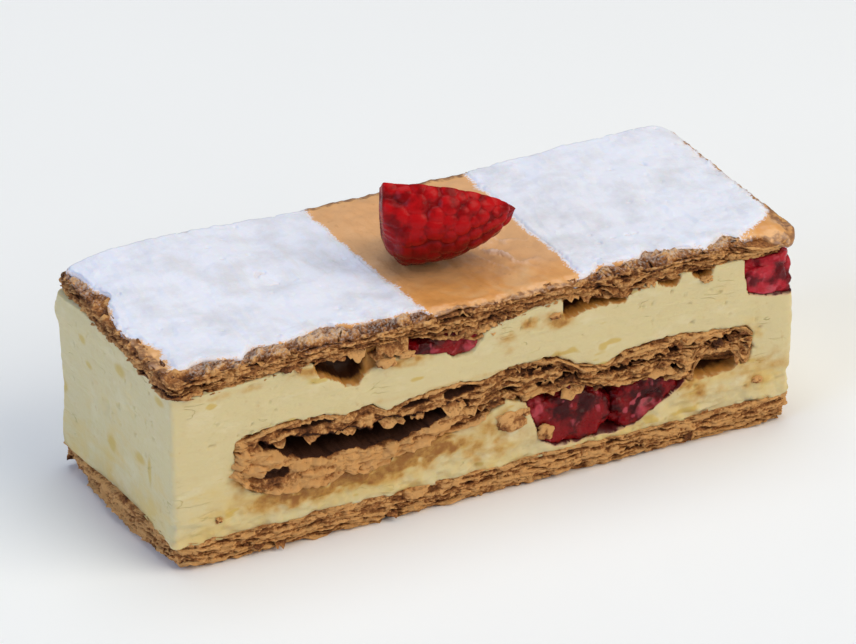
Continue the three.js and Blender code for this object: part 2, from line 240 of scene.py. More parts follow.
class Finish:
    """A material with one Principled shader."""

    def __init__(self, name):
        self.material = bpy.data.materials.new(name)
        self.material.use_nodes = True
        self.nodes, self.links = self.material.node_tree.nodes, self.material.node_tree.links
        self.shader = self.nodes["Principled BSDF"]
        self.place = self.node("ShaderNodeTexCoord", output="Object")

    def node(self, kind, settings=None, inputs=None, output=0):
        """Adds a node: its settings first, with a ramp's stops among them, and then its inputs."""
        node = self.nodes.new(kind)
        for name, value in (settings or {}).items():
            if name == "stops":
                for place, colour in value[2:]:
                    node.color_ramp.elements.new(place)
                for element, (place, colour) in zip(node.color_ramp.elements, sorted(value)):
                    element.position, element.color = place, (*colour, 1)
            else:
                setattr(node, name, value)
        for name, value in (inputs or {}).items():
            self.feed(node.inputs[name], value)
        return Value(self, node.outputs[output])

    def feed(self, socket, value):
        """Links a value to a socket, or sets the socket to a number, a colour or a vector."""
        if isinstance(value, Value):
            self.links.new(value.socket, socket)
        elif socket.type == "RGBA" and len(value) == 3:
            socket.default_value = (*value, 1)
        else:
            socket.default_value = value

    def set(self, **sockets):
        """Feeds the shader's sockets, which are named with _ for a space."""
        for name, value in sockets.items():
            self.feed(self.shader.inputs[name.replace("_", " ")], value)

    def noise(self, bump, detail=3, place=None, rough=0.5, sharp=0):
        """Smooth chance values about 0.5 over the piece, with bumps of the given length in millimetres."""
        inputs = {"Vector": place or self.place, "Scale": 1 / (bump * MM), "Detail": detail}
        return self.node("ShaderNodeTexNoise", None, {**inputs, "Roughness": rough, "Distortion": sharp})

    def mark(self, name):
        """The mesh's mark of that name."""
        return self.node("ShaderNodeAttribute", {"attribute_name": name}, output="Fac")

    def ramp(self, value, *stops):
        """A colour that runs through stops, which are places and colours, as the value rises."""
        return self.node("ShaderNodeValToRGB", {"stops": stops}, {"Fac": value})

    def mix(self, share, first, second):
        """The first colour at a share of 0, the second at 1."""
        settings = {"data_type": "RGBA", "clamp_factor": True}
        return self.node("ShaderNodeMix", settings, {0: share, 6: first, 7: second}, output=2)

    def layers(self, colour, *layers):
        """Lays tints over a colour, each as far as its mask has risen from start to end, by its strength."""
        for mask, start, end, strength, tint in layers:
            colour = self.mix(mask.step(start, end) * strength, colour, tint)
        return colour

    def bump(self, height, rise):
        """A Bump node: height from 0 to 1 stands for rise millimetres."""
        return self.node("ShaderNodeBump", None, {"Height": height, "Distance": rise * MM})

    def stretched(self, x, y, z):
        """The place on the piece, stretched so that a pattern grows longer along an axis."""
        inputs = {"Vector": self.place, "Scale": (1 / x, 1 / y, 1 / z)}
        return self.node("ShaderNodeMapping", None, inputs)

    def height(self):
        """The height above the table, in millimetres."""
        return self.node("ShaderNodeSeparateXYZ", None, {0: self.place}, 2) / MM


BAKED_DEEP = (0.050, 0.014, 0.004)
BAKED_DARK = (0.17, 0.056, 0.016)
BAKED_MIDDLE = (0.42, 0.166, 0.048)
BAKED_LIGHT = (0.77, 0.405, 0.145)
SUGAR_WHITE = (0.80, 0.81, 0.90)
SUGARED_BROWN = (0.74, 0.66, 0.60)


def baked_finish(name, sugared=0.0):
    """Baked leaves: light and golden at their broken tips, brown behind and dark in the gaps, as the mark
    recess says: painted light on the tips and painted shade in the gaps, over the pastry's own browns.
    Also mottling, and where sugared, icing sugar caught on what faces up."""
    finish = Finish(name)
    mottle = finish.noise(2.6, 3) - 0.5
    speck = finish.noise(0.5, 3) - 0.5
    shade = finish.mark("recess") + 0.9 * mottle + speck - 0.07
    # Painted light and shade: golden where the leaves stand out, near black in the deepest gaps
    colour = finish.ramp(
        shade, (0.0, BAKED_LIGHT), (0.26, BAKED_MIDDLE), (0.56, BAKED_DARK), (0.90, BAKED_DEEP)
    )
    if sugared:
        geometry = finish.node("ShaderNodeNewGeometry", output="Normal")
        up = finish.node("ShaderNodeSeparateXYZ", None, {0: geometry}, 2)
        caught = finish.mark("dust") * sugared + 2.0 * (finish.noise(0.45, 2) - 0.5) + 0.45 * up - 0.5
        colour = finish.layers(colour, (caught, 0.2, 1.0, 0.55, SUGARED_BROWN))
    finish.set(Base_Color=colour, Roughness=0.7, Specular_IOR_Level=0.25)
    finish.set(Normal=finish.bump(finish.noise(0.9, 5, rough=0.7), 0.75))
    return finish


pastry_finish = baked_finish("baked_pastry")


def leafy_sheet(outline, foot, top, swell, leaves, rows, seed, broken_top=None, **relief):
    """A sheet of pastry: the wall's leaves between the heights foot and top, which are functions of x and
    y, and faces that run in from the wall to the middle. swell gives extra relief, extra painted shade, and
    how far the leaves are lost. broken_top roughens the upper face's outer part. Also gives the recess,
    the mark that paints shade into recesses and light onto what stands out."""
    rise = np.linspace(0, 1, rows)[:, None]
    out = leaf_relief(outline.turn, outline.length, rise * leaves, seed, **relief)
    low, high = foot(outline.x, outline.y), top(outline.x, outline.y)
    height = low + (high - low) * rise
    extra, deep, lost = swell(outline.x + 0 * rise, outline.y + 0 * rise, height)
    # Painted shade: darker where the wall's leaves are sunk, lighter where they stand out
    recess = ease(-out, -0.6, 1.5) * (1 - lost)
    recess = np.where(deep > 0, np.maximum(recess, deep), recess + deep)
    out = out * (1 - lost) + extra
    height = height + 0.18 * lumps(outline.turn * round(outline.length / 2), rise * leaves, seed + 7, 2)
    wall = outline.wall(out, np.maximum(height, 0))
    middle = np.array([outline.x.mean(), outline.y.mean()])

    def face(edge, heights, shares):
        """Rings from the wall's edge towards the middle, at shares of the way out, on the heights."""
        rings = [middle + (edge[:, :2] - middle) * share for share in shares]
        return [np.column_stack([ring, heights(ring[:, 0], ring[:, 1])]) for ring in rings]

    inward = (0.96, 0.75, 0.3)
    if broken_top:
        inward = (*(1 - np.arange(0.25, 6.2, 0.25) / HALF_WIDTH), 0.6, 0.3)
    under, over = face(wall[0], foot, (0.3, 0.75, 0.96)), np.array(face(wall[-1], top, inward))
    shade = np.full(over.shape[:2], 0.35)
    if broken_top:
        rough = broken_top(over[..., 0], over[..., 1])
        over[..., 2] += rough
        # Painted light and shade: raised chips lighter, sunk places darker
        shade = 0.26 - 0.55 * rough
    recess = np.vstack([np.full((3, len(outline.x)), 0.35), recess, shade])
    ends = np.array([[*middle, foot(*middle)], [*middle, top(*middle) - 0.9]], float)
    return ringed_body(np.array([*under, *wall, *over])[None], ends[None]), np.append(recess, [0.35, 0.35])


BOTTOM_THICKNESS = box_of("pastry_bottom")[1][2]


def bottom_overhang(x, y, z):
    """The left end stands out at its middle, its back corner is worn away, and the foot is tucked in."""
    left = ease(-x, HALF_LENGTH - 5, HALF_LENGTH - 1)
    foot = ease(1 - z / BOTTOM_THICKNESS, 0.2, 1.0)
    worn = (0.3 - 1.4 * foot) * ease(y, 13, 21)
    out = np.exp(-(((y - 2) / 11) ** 2)) + worn - 0.5 * ease(-y, 8, 18)
    return left * out - 0.9 * foot**2, 0 * x, 0 * x


def bottom_foot(x, y):
    """Flat where it lies on the table, and a little ragged and raised at its edges."""
    corner = 0.9 * ease(-x, 50, 60) * ease(-y, 14, 22)
    return (1 - ease(from_edge(x, y), -0.5, 1.6)) * (0.35 + 0.3 * lumps(x / 4, y / 4, 31) + corner)


def bottom_top(x, y):
    """Slow waves about the sheet's thickness."""
    return BOTTOM_THICKNESS - 0.1 + 0.45 * lumps(x / 15 + 9, y / 15 + 9, 32)


FOOTPRINT = np.array([[-HALF_LENGTH, -HALF_WIDTH], [HALF_LENGTH, HALF_WIDTH]])
BOTTOM_CORNERS = (3.0, 3.0, 1.5, 3.5)
bottom_outline = Outline(*FOOTPRINT, BOTTOM_CORNERS, LEAF_STEP)
body, recess = leafy_sheet(
    bottom_outline, bottom_foot, bottom_top, bottom_overhang,
    leaves=10, rows=48, seed=11, ragged=0.4, crumbly=0.4,
)  # fmt: skip
bottom_sheet = put_mesh("bottom_sheet", body, pastry_finish, {"recess": recess - 0.08})
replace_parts(bottom_sheet, "pastry_bottom")

# ---------------------------------------------------------------------------------------------------
# The cream: custard cream with butter, piped in, chilled until it holds, and cut with a warm knife.
# The knife drags faint smears and opens small pits. It is hollow where it didn't reach the sheet above,
# and fat and sugar from the caramelised pastry stain it beside the middle sheet. The hollows and the
# fruit's pockets are painted darker inside, painted shade.

# The middle sheet's top and foot along the front, as x and height, and where it starts and ends
SHEET_TOP = [
    (-48.4, 22.6), (-45, 23.5), (-40, 24.3), (-31.7, 23.9), (-27.4, 22.7), (-22.5, 23.4), (-19.6, 21.7),
    (-12, 23.2), (-5.5, 23.6), (-1.5, 22.6), (4, 23.9), (9, 24.0), (13.5, 23.8), (17.3, 21.4),
    (23, 20.1), (27, 21.9), (33, 22.3), (40, 22.1), (51, 20.7), (52.4, 19.0),
]  # fmt: skip
SHEET_FOOT = [
    (-48.4, 16.5), (-47.2, 14.4), (-45.0, 12.8), (-42.0, 11.6), (-39.4, 11.1), (-31, 10.9),
    (-28, 12.1), (-24, 11.0), (-17.4, 12.6), (-12.5, 13.9), (-7.8, 14.5), (-2.5, 15.0), (1.5, 16.8),
    (4, 18.0), (6.9, 16.6), (11, 17.6), (16.5, 17.6), (20.4, 16.1), (26.4, 15.1), (33, 14.8),
    (37.8, 13.4), (40.2, 12.6), (41, 15.8), (44.4, 17.1), (49.4, 16.4), (50.2, 13.4), (51.4, 13.3),
    (52.4, 16.5),
]  # fmt: skip
SHEET_START, SHEET_END = -48.2, 52.4
SHEET_EASED = -6  # the y where the front's lines have given way to plain waves


def on_line(points, x):
    """The height at x of a line through points of x and height."""
    return np.interp(x, *np.transpose(points))


def from_front(line, plain, x, y, end):
    """The line's height on the front, eased into the plain height where y reaches end."""
    front = 1 - ease(y, -HALF_WIDTH, end)
    return front * on_line(line, x) + (1 - front) * plain


def plain_top(x, y):
    """The middle sheet's upper face away from the front: slow waves, a little lower to the right."""
    return 22.9 - 0.018 * (x + 48) + 0.7 * lumps(x / 14 + 3, y / 14 + 5, 41, 2)


def sheet_top(x, y):
    """The front line at the front, and a plainly wavy one from a third of the way in to the back."""
    return from_front(SHEET_TOP, plain_top(x, y), x, y, SHEET_EASED)


def sheet_foot(x, y):
    """The same for its lower face, which sags where the sheet is thick."""
    sag = 3.2 * np.exp(-(((x + 22) / 20) ** 2)) + 1.2 * np.exp(-(((x - 30) / 12) ** 2))
    plain = plain_top(x, y) - 5.6 - sag + 0.6 * lumps(x / 9 + 7, y / 9 + 1, 42, 2)
    return from_front(SHEET_FOOT, plain, x, y, SHEET_EASED)


def top_underside(x, y):
    """Where the top sheet lies on the cream: the front line at the front, a wavy one elsewhere."""
    plain = cream_high[2] + PROUD + 0.5 * lumps(x / 12 + 4, y / 12 + 8, 81, 2)
    plain = plain + 0.9 * ease(-x, 50, 58) * ease(y, -20, -10)
    return from_front(UNDERSIDE, plain, x, y, 7 - HALF_WIDTH)


# The top sheet's underside along the front, as x and height
UNDERSIDE = [
    (-60, 33.4), (-54.5, 32.8), (-33, 33.6), (-20.7, 34.6), (-13, 33.7), (-5.5, 31.7), (-1.6, 31.0),
    (2.3, 32.8), (15, 34.8), (21.8, 33.0), (27.7, 31.9), (33.6, 33.4), (42, 33.6), (60, 33.3),
]  # fmt: skip
# Where crushed fruit shows in the cream on the front: its floor line below each sheet and in the corner
UPPER_FRUIT_FLOOR = [
    (-17.0, 36), (-15.4, 31.6), (-12.0, 30.7), (-8.4, 30.2), (-6.4, 28.8), (-3.2, 29.0), (-1.0, 31.0),
    (-0.5, 36),
]  # fmt: skip
LOWER_FRUIT_FLOOR = [
    (6.4, 24), (7.4, 16.5), (8.8, 13.0), (10.2, 8.6), (13.5, 6.8), (20, 6.5), (25, 7.0), (29, 7.2),
    (32.4, 9.2), (36.4, 11.3), (39.6, 13.4), (40.2, 24),
]  # fmt: skip
CORNER_FRUIT_FLOOR = [(50.4, 36), (50.8, 30.5), (51.4, 27.3), (54, 26.4), (57, 26.0), (59, 25.6), (64, 24.5)]
# Hollows on the front, open to the sheet above: floor line, depth, and how much brown crust lines them,
# with painted shade deep in them
FRONT_HOLLOWS = [
    ([(-33.8, 36), (-33.2, 34.2), (-32.2, 31.8), (-29.2, 30.4), (-26.9, 28.5), (-24.5, 28.2), (-23.3, 29.9),
      (-22.6, 32.5), (-22.2, 36)], 5.0, 1.0),
    ([(-24.8, 36), (-24.4, 30.4), (-22.6, 29.7), (-20.5, 30.6), (-16.0, 31.5), (-13.6, 32.4),
      (-12.4, 36)], 1.5, 0.35),
    ([(14.4, 36), (15.0, 30.7), (16.2, 31.0), (17.7, 31.5), (20.8, 31.8), (22.8, 31.6), (27.0, 31.4),
      (27.9, 33.5), (28.2, 36)], 5.0, 0.9),
    ([(33.0, 35), (33.6, 33.2), (36.9, 32.5), (37.6, 33.2), (38.0, 35)], 3.5, 0.9),
    ([(39.6, 35), (40.6, 32.9), (42.4, 31.9), (44.2, 33.0), (44.8, 35)], 3.0, 0.8),
    (UPPER_FRUIT_FLOOR, 3.6, 0.15),
]  # fmt: skip
# Hollows all round: the middle, the half-sizes, the depth, and how much crust and painted shade line them
CREAM_HOLLOWS = [
    ((45.2, -22, 14.9), (5.4, 9, 2.2), 5.5, 0.9),
    ((14.0, 22, 34.0), (9.0, 9, 3.2), 5.5, 0.6),
    ((-38.0, 22, 34.0), (7.0, 9, 2.6), 4.5, 0.5),
    ((38.0, 22, 14.6), (6.0, 9, 1.9), 4.0, 0.7),
]
POCKET_DEPTH = 3.5  # how deep the cream is sunk where fruit shows
OUTSIDE = -9  # well outside a hollow, in millimetres


def sunk(inside, depth, bowl=0.6):
    """How deep a hollow is at places some millimetres inside it: a quarter circle down over the bowl's
    width, then level."""
    share = np.clip((inside + 0.1) / bowl, 0, 1)
    return depth * np.sqrt(1 - (1 - share) ** 2)


def within(place, middle, half):
    """How far inside an ellipsoid each place lies, in millimetres: positive inside it."""
    share = sum(((place[i] - middle[i]) / half[i]) ** 2 for i in range(len(place))) ** 0.5
    return (1 - share) * min(half)


def above(points, x, z):
    """How far each place lies above a floor line, or inside its ends, in millimetres."""
    start, end = points[0][0], points[-1][0]
    return np.minimum(z - on_line(points, x), np.minimum(x - start, end - x) * 2)


def cut_face(x, y, z):
    """How far the cream's cut walls stand out before they are hollowed: waves, smears and small pits, a
    bulge at the back of the left end, a dent in its middle, a fuller right end and a rough low front."""
    smear = lumps((x + y) / 9 + 60, z / 1.1, 52, 3)
    out = 0.22 * lumps((x + y) / 11 + 40, z / 8, 53, 3) + 0.06 * smear
    pit = lumps((x + y) / 0.9 + 90, z / 0.8, 54, 1)
    out -= 0.5 * ease(pit, 0.80, 0.97) * (lumps((x + y) / 14, z / 8, 55) > -0.1)
    left = ease(-x, HALF_LENGTH - 3, HALF_LENGTH - 1)
    bulge = 1.0 + 0.3 * lumps(z / 7 + 3, y / 20, 56) + 0.8 * np.exp(-(((z - 31.5) / 2.6) ** 2))
    out += left * bulge * ease(y, 2, 20)
    out -= 0.9 * left * np.exp(-(((y - 4.7) / 1.2) ** 2) - ((z - 20.1) / 1.6) ** 2)
    right = ease(x, HALF_LENGTH - 9, HALF_LENGTH - 0.5)
    out += right * (0.3 + 0.4 * ease(z, 8, 22) + 0.15 * lumps(z / 6 + 9, y / 15 + 9, 58, 2))
    low = (1 - ease(z, 8, 13)) * ease(-y, HALF_WIDTH - 3, HALF_WIDTH - 1)
    return out + low * 0.45 * lumps(x / 2.4 + 7, z / 1.6, 57, 3)


def cream_relief(x, y, z):
    """How far the cream's walls stand out: the cut face, less the slot of the middle sheet, the deepest
    hollow at each place, and the fruit's pockets. Also gives the marks of crust and juice, which carry
    painted shade inside the hollows and the pockets too."""
    out, seam = cut_face(x, y, z), lumps(x / 1.6 + 50, z / 1.6 + 50, 51, 2)
    front, side = y < 2.5 - HALF_WIDTH, np.abs(y) > HALF_WIDTH - 2.5
    room = np.minimum(sheet_top(x, y) - z, z - sheet_foot(x, y))
    room = np.minimum(room, np.minimum(x - SHEET_START, SHEET_END - x)) + 0.3 * seam
    slot = ease(room, -0.15, 0.5) * side
    out -= (4.5 + 6 * front * ease(x, -47, -46) * (1 - ease(x, -4, -2))) * slot
    hollows = [(np.where(front, above(line, x, z), OUTSIDE), *rest) for line, *rest in FRONT_HOLLOWS]
    hollows += [(within((x, y, z), middle, half), *rest) for middle, half, *rest in CREAM_HOLLOWS]
    crust, hollow, juice = slot, np.zeros(x.shape), np.zeros(x.shape)
    for inside, depth, lining_and_shade in hollows:
        inside = inside + 0.35 * seam
        hollow = np.maximum(hollow, sunk(inside, depth, 1.6) * (1 - slot))
        # Brown crust at the hollow's rim, and painted shade deeper in
        browned_and_shaded = 0.36 * ease(inside, -0.5, -0.15) + 0.64 * ease(inside, -0.1, 0.45)
        crust = np.maximum(crust, lining_and_shade * browned_and_shaded)
    out -= hollow
    below = np.minimum(above(LOWER_FRUIT_FLOOR, x, z), sheet_foot(x, y) + 1 - z)
    end = np.where(y < 0, z - 25.6 - 7.5 * ((y + HALF_WIDTH) / 12) ** 2, OUTSIDE)
    corner = np.where(front, above(CORNER_FRUIT_FLOOR, x, z), OUTSIDE)
    corner = np.where(x > HALF_LENGTH - 1.2, end, corner)
    for inside in (np.where(front, below, OUTSIDE), corner):
        inside = inside + 0.3 * seam
        out -= sunk(inside, POCKET_DEPTH) * (1 - slot)
        # Juice at the pocket's rim, and inside it painted shade as well as juice
        juice = np.maximum(juice, ease(inside, -0.7, 0.0))
    return out, crust, juice


# Stains on the front: the middle's x and height, how far they reach along and up, and how strong they are
STAINS = [
    (-38, 9.8, 12, 2.0, 0.75), (-16, 10.2, 11, 2.6, 0.95), (-26, 10.6, 16, 1.5, 0.75),
    (2.5, 13.2, 4.4, 2.6, 0.85), (-47.6, 15, 1.8, 4, 0.7), (3.6, 29.6, 2.2, 2.6, 0.8),
    (8.2, 31.6, 2.0, 1.2, 0.8), (13.4, 31.2, 3.4, 1.9, 1.15), (-14.5, 30.8, 6.5, 1.9, 1.1),
    (53.4, 9.4, 2.6, 1.5, 1.2), (42, 11.2, 5.5, 3.2, 0.8), (-34, 32.8, 5, 1.2, 0.85),
    (-49, 32.2, 8, 0.7, 0.55), (50.5, 15, 2.2, 3, 0.7), (53.6, 18, 1.0, 4, 0.5), (-2, 23.6, 30, 0.7, 0.35),
    (-51.8, 8.8, 1.0, 0.6, 1.2), (1, 9.6, 9, 3.4, 0.6), (54, 12, 8, 4, 0.42), (-13, 11.4, 8, 2.2, 1.3),
    (-24, 9.8, 8, 1.8, 1.3), (-23, 31.6, 6, 1.0, 0.6),
]  # fmt: skip
# Smears of richer cream on the left end: the same, with y for x
SMEARS = [
    (12.2, 29.7, 1.3, 1.0, 1), (10.4, 25.4, 1.3, 0.8, 1), (21.5, 16.5, 1.5, 1.6, 1),
    (-1.8, 29.8, 2.2, 1.2, 1), (-12.6, 15.5, 0.8, 3.0, 1), (-8.6, 16.2, 2.2, 1.0, 1),
    (3.1, 13.4, 1.6, 1.8, 1), (-18, 31.5, 2.0, 0.8, 1),
]  # fmt: skip


def spots(u, z, table, power=1):
    """Soft spots, 1 in their middles and falling off as a bell does, or more squarely by the power."""
    total = np.zeros(z.shape)
    for middle, height, along, up, strength in table:
        spread = ((u - middle) / along) ** 2 + ((z - height) / up) ** 2
        total = np.maximum(total, strength * np.exp(-(spread**power)))
    return total


def stain_at(x, y, z):
    """Soft brown stains on the front wall, broken up by lumps, and others below the middle sheet."""
    front = ease(-y, HALF_WIDTH - 3, HALF_WIDTH - 1)
    broken = 0.75 + 0.6 * lumps(x / 2.2 + 20, z / 1.5, 61, 3)
    beside = np.exp(-(((sheet_foot(x, y) - 0.6 - z) / 2.3) ** 2)) * ease(HALF_LENGTH - np.abs(x), 6, 14)
    soaked = 0.6 * ease(y, HALF_WIDTH - 3, HALF_WIDTH - 1)
    soaked = soaked + front * ease(x, -46, -40) * (0.35 + 1.1 * ease(-x, 4, 9))
    return np.clip(spots(x, z, STAINS, 1.3) * front * broken + soaked * beside * broken, 0, 1.15)


def smears_at(x, y, z):
    """Smears of richer, yellower cream on the left end, and a few strewn over the other walls."""
    total = 0.8 * ease(lumps((x + y) / 6 + 80, z / 2.2, 62, 3), 0.75, 1.2)
    left = ease(-x, HALF_LENGTH - 2, HALF_LENGTH - 1)
    return np.maximum(total * (1 - left), left * spots(y, z, SMEARS))


CREAM_CORNERS, CREAM_STEP, CREAM_ROWS = (0.8, 1.2, 1.2, 0.7), 0.34, 96
cream_outline = Outline(cream_low[:2], cream_high[:2], CREAM_CORNERS, CREAM_STEP)
# The wall runs from a little inside the bottom sheet to a little inside the top one
cream_foot = cream_low[2] - 0.3
cream_rise = top_underside(cream_outline.x, cream_outline.y) + 0.5 - cream_foot
height = cream_foot + cream_rise * np.linspace(0, 1, CREAM_ROWS)[:, None]
grid = [cream_outline.x + 0 * height, cream_outline.y + 0 * height, height]
out, crust, juice = cream_relief(*grid)
wall = cream_outline.wall(out, height)
under = [wall[0] * [share, share, 1] for share in (0.2, 0.6)]
over = [wall[-1] * [share, share, 1] for share in (0.6, 0.2)]
ends = np.array([[[0, 0, height[0].mean()], [0, 0, height[-1].mean()]]])
marks = {"crust": crust, "juice": juice, "stain": stain_at(*grid), "smear": smears_at(*grid)}
marks = {
    name: np.concatenate([np.pad(values, ((2, 2), (0, 0))).ravel(), [0, 0]])
    for name, values in marks.items()
}

CREAM_PALE = (0.675, 0.566, 0.312)
CREAM_WARM = (0.69, 0.505, 0.185)
BUTTERFAT = (0.74, 0.65, 0.42)
RICH_CREAM = (0.60, 0.42, 0.10)
CRACK_SHADE = (0.42, 0.33, 0.09)
FAT_STAIN, SYRUP_STAIN = (0.54, 0.28, 0.050), (0.27, 0.092, 0.015)
# The deep juice colour is near black: painted shade in the fruit's pockets as well as juice
JUICE_RIM, JUICE_AND_SHADE_DEEP = (0.58, 0.22, 0.18), (0.08, 0.003, 0.004)
# The deep crust colour is near black: painted shade in the hollows' depths as well as crust
CRUST_RIM, CRUST_AND_SHADE_DEEP = (0.46, 0.205, 0.042), (0.050, 0.015, 0.004)
custard = Finish("custard_cream")
streak = custard.noise(2.2, 3, custard.stretched(5, 5, 1), sharp=0.5)
cloud = custard.noise(7, 4)
# Yellower towards the bottom: painted warm bounce light; the clouds and streaks are the cream's own tone
warmth_and_bounce_light = 0.66 - custard.height() / 22 + 3.2 * (cloud - 0.5) + 1.5 * (streak - 0.5)
fat = custard.noise(3.4, 3, custard.stretched(2, 2, 1))
line = (custard.noise(1.7, 2, custard.stretched(4, 4, 1), rough=0.4) - 0.5).math("ABSOLUTE")
crack = (1 - line.step(0.003, 0.014)) * custard.noise(5, 2).step(0.58, 0.68)
stain = custard.mark("stain") * (0.35 + 1.3 * custard.noise(1.3, 4, rough=0.6))
stain = stain + 0.8 * (custard.noise(3.2, 3) - 0.5)
juice = custard.mark("juice") + 0.3 * (custard.noise(0.8, 3) - 0.5)
crust = custard.mark("crust") + 0.5 * (custard.noise(1.4, 4) - 0.5)
colour = custard.mix(warmth_and_bounce_light.clip(), CREAM_PALE, CREAM_WARM)
colour = custard.layers(
    colour, (fat, 0.55, 0.72, 0.5, BUTTERFAT), (custard.mark("smear"), 0.15, 0.8, 0.8, RICH_CREAM)
)
colour = custard.layers(
    custard.mix(crack * 0.5, colour, CRACK_SHADE),
    (stain, 0.0, 0.95, 0.9, FAT_STAIN),
    (stain, 0.6, 1.4, 0.85, SYRUP_STAIN),
    # Pink juice at the pockets' rims; near black inside them, painted shade as well as juice
    (juice, 0.05, 0.4, 0.35, JUICE_RIM),
    (juice, 0.35, 0.8, 1, JUICE_AND_SHADE_DEEP),
    # Brown crust lining the hollows, near black in their depths: painted shade
    (crust, 0.05, 0.3, 1, CRUST_RIM),
    (crust, 0.4, 0.75, 1, CRUST_AND_SHADE_DEEP),
)
custard.set(Base_Color=colour, Roughness=0.5, Specular_IOR_Level=0.3)
custard.set(Subsurface_Weight=0.3, Subsurface_Scale=1.4 * MM, Subsurface_Radius=(1.0, 0.6, 0.25))
grain = custard.noise(0.9, 5, custard.stretched(2.0, 2.0, 1), rough=0.6)
custard.set(Normal=custard.bump(grain - crack * 0.5, 0.22))
body = ringed_body(np.array([*under, *wall, *over])[None], ends)
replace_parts(put_mesh("cream_block", body, custard, marks), "cream")

# ---------------------------------------------------------------------------------------------------
# The middle sheet: a thinner strip of the same pastry, shorter than the cream, pressed into it. Towards
# the left its leaves have parted, and the lower ones hang crumpled over a gap painted dark, painted shade.

# The gap's roof and floor along the front
GAP_ROOF = [
    (-45, 21.2), (-38, 20.9), (-30.5, 19.9), (-26.7, 19.8), (-22.5, 18.7), (-20, 19.8), (-12, 19.2),
    (-7.5, 20.0), (-3.0, 19.5),
]  # fmt: skip
GAP_FLOOR = [
    (-45, 20.3), (-42, 19.9), (-39, 18.2), (-36, 16.6), (-30.6, 15.7), (-27.7, 16.3), (-22, 15.5),
    (-17, 15.4), (-14, 16.0), (-9.5, 17.6), (-3.0, 19.0),
]  # fmt: skip
# Smaller gaps between leaves on the front: the middle as x and height, the half-sizes, and the depth
SMALL_GAPS = [
    ((0.0, 17.4), (4.5, 0.8), 4.0), ((-41, 15.2), (2.6, 0.9), 0.9), ((-6, 21.6), (3.0, 0.6), 1.5),
    ((-14, 21.5), (2.2, 0.5), 1.2), ((10, 22.2), (4.0, 0.6), 1.5), ((14, 19.2), (5.0, 0.7), 2.0),
    ((27, 18.6), (4.5, 0.7), 2.0), ((36, 15.6), (3.6, 0.8), 2.5), ((38, 19.4), (4.0, 0.6), 1.6),
    ((47, 19.0), (2.5, 0.7), 1.6), ((-34, 22.4), (3.5, 0.5), 1.4), ((5, 20.0), (2.5, 0.5), 1.4),
]  # fmt: skip
BACK_GAP = (14.0, 18.0), (17.0, 1.3)  # the one at the back: the middle and the half-sizes


def sheet_swell(x, y, z):
    """The parted leaves' deep gap on the front, thin ones beside it and at the back, and the crumpled
    lumps of the leaves below it, soft and round like crumbs pressed together. The darkness it gives is
    painted shade in the gaps and painted light on the raised lumps, and darker at a soaked spot."""
    front, back = y < 5 - HALF_WIDTH, y > HALF_WIDTH - 5
    rough = 0.3 * lumps(x / 1.5 + 30, z / 1.2, 71, 3)
    room = np.minimum(on_line(GAP_ROOF, x) - z, z - on_line(GAP_FLOOR, x) - 0.45) + rough
    open_here = front * ease(x, -43.8, -42) * (1 - ease(x, -5, -3))
    gap, dim = sunk(room, 9.0, 0.7) * open_here, ease(room, -0.6, -0.15) * open_here
    for middle, half, depth in SMALL_GAPS:
        small = within((x, z), middle, half) + rough
        gap = np.maximum(gap, sunk(small, depth, 0.5) * front)
        dim = np.maximum(dim, ease(small, -0.2, 0.1) * front)
    behind = within((x, z), *BACK_GAP) + rough
    gap, dim = np.maximum(gap, sunk(behind, 6) * back), np.maximum(dim, ease(behind, -0.3, 0.05) * back)
    low = ease(on_line(GAP_FLOOR, x) - z, 0.0, 0.6) * front * (1 - ease(x, -12, -2))
    chips = lumps(x / 2.4 + 10 + z / 3, z / 0.9 + 3, 72, 2, blend=0.15)
    clumps = np.abs(lumps(x / 3.1 + 10 - z / 5, z / 2.0, 74, 4))
    crumple = low * (0.4 + 1.1 * clumps + 0.4 * chips)
    soaked = np.exp(-((x + 41) ** 2 / 14 + (z - 13.6) ** 2 / 2.5))
    # Painted shade: near black in the gaps; on the crumpled leaves, lighter on raised lumps
    dark = np.where(dim > 0.3, 1.7 * dim, low * (0.7 * soaked - 0.5 * clumps - 0.2 * chips))
    return crumple - gap - 0.3, dark, 0.6 * low


SHEET_SIDE, SHEET_CORNERS = HALF_WIDTH - 0.1, (0.8, 0.8, 0.8, 0.8)
sheet_low, sheet_high = np.array([[SHEET_START, -SHEET_SIDE], [SHEET_END, SHEET_SIDE]])
sheet_outline = Outline(sheet_low, sheet_high, SHEET_CORNERS, LEAF_STEP)
body, recess = leafy_sheet(
    sheet_outline, sheet_foot, sheet_top, sheet_swell,
    leaves=11, rows=82, seed=23, ragged=0.5, gaping=1.3, crumbly=0.45,
)  # fmt: skip
middle_sheet = put_mesh("middle_sheet", body, pastry_finish, {"recess": recess})
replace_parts(middle_sheet, "pastry_middle")

# ---------------------------------------------------------------------------------------------------
# The top sheet: the same pastry, its best side up. Its outer skin is one smooth leaf, blistered and
# glazed with syrup, that hangs over the broken edges of the leaves below.

TOP_HEIGHT = box_of("pastry_top")[1][2]
TOP_CORNERS = (4.5, 3.5, 1.3, 2.0)  # the corners' radii: front right, back right, back left, front left
BAND_MIDDLE = 3.5  # the x of the middle of the band that is left bare of sugar
# The upper face along the back, as x and height
BACK_EDGE = [
    (-60, 38.2), (-57, 39.0), (-52, 39.9), (-43, 40.4), (-36, 40.3), (-31, 39.8), (-27, 39.2),
    (-12, 39.0), (14, 38.9), (24, 38.9), (30, 39.5), (57, 39.5), (60.5, 38.7),
]  # fmt: skip


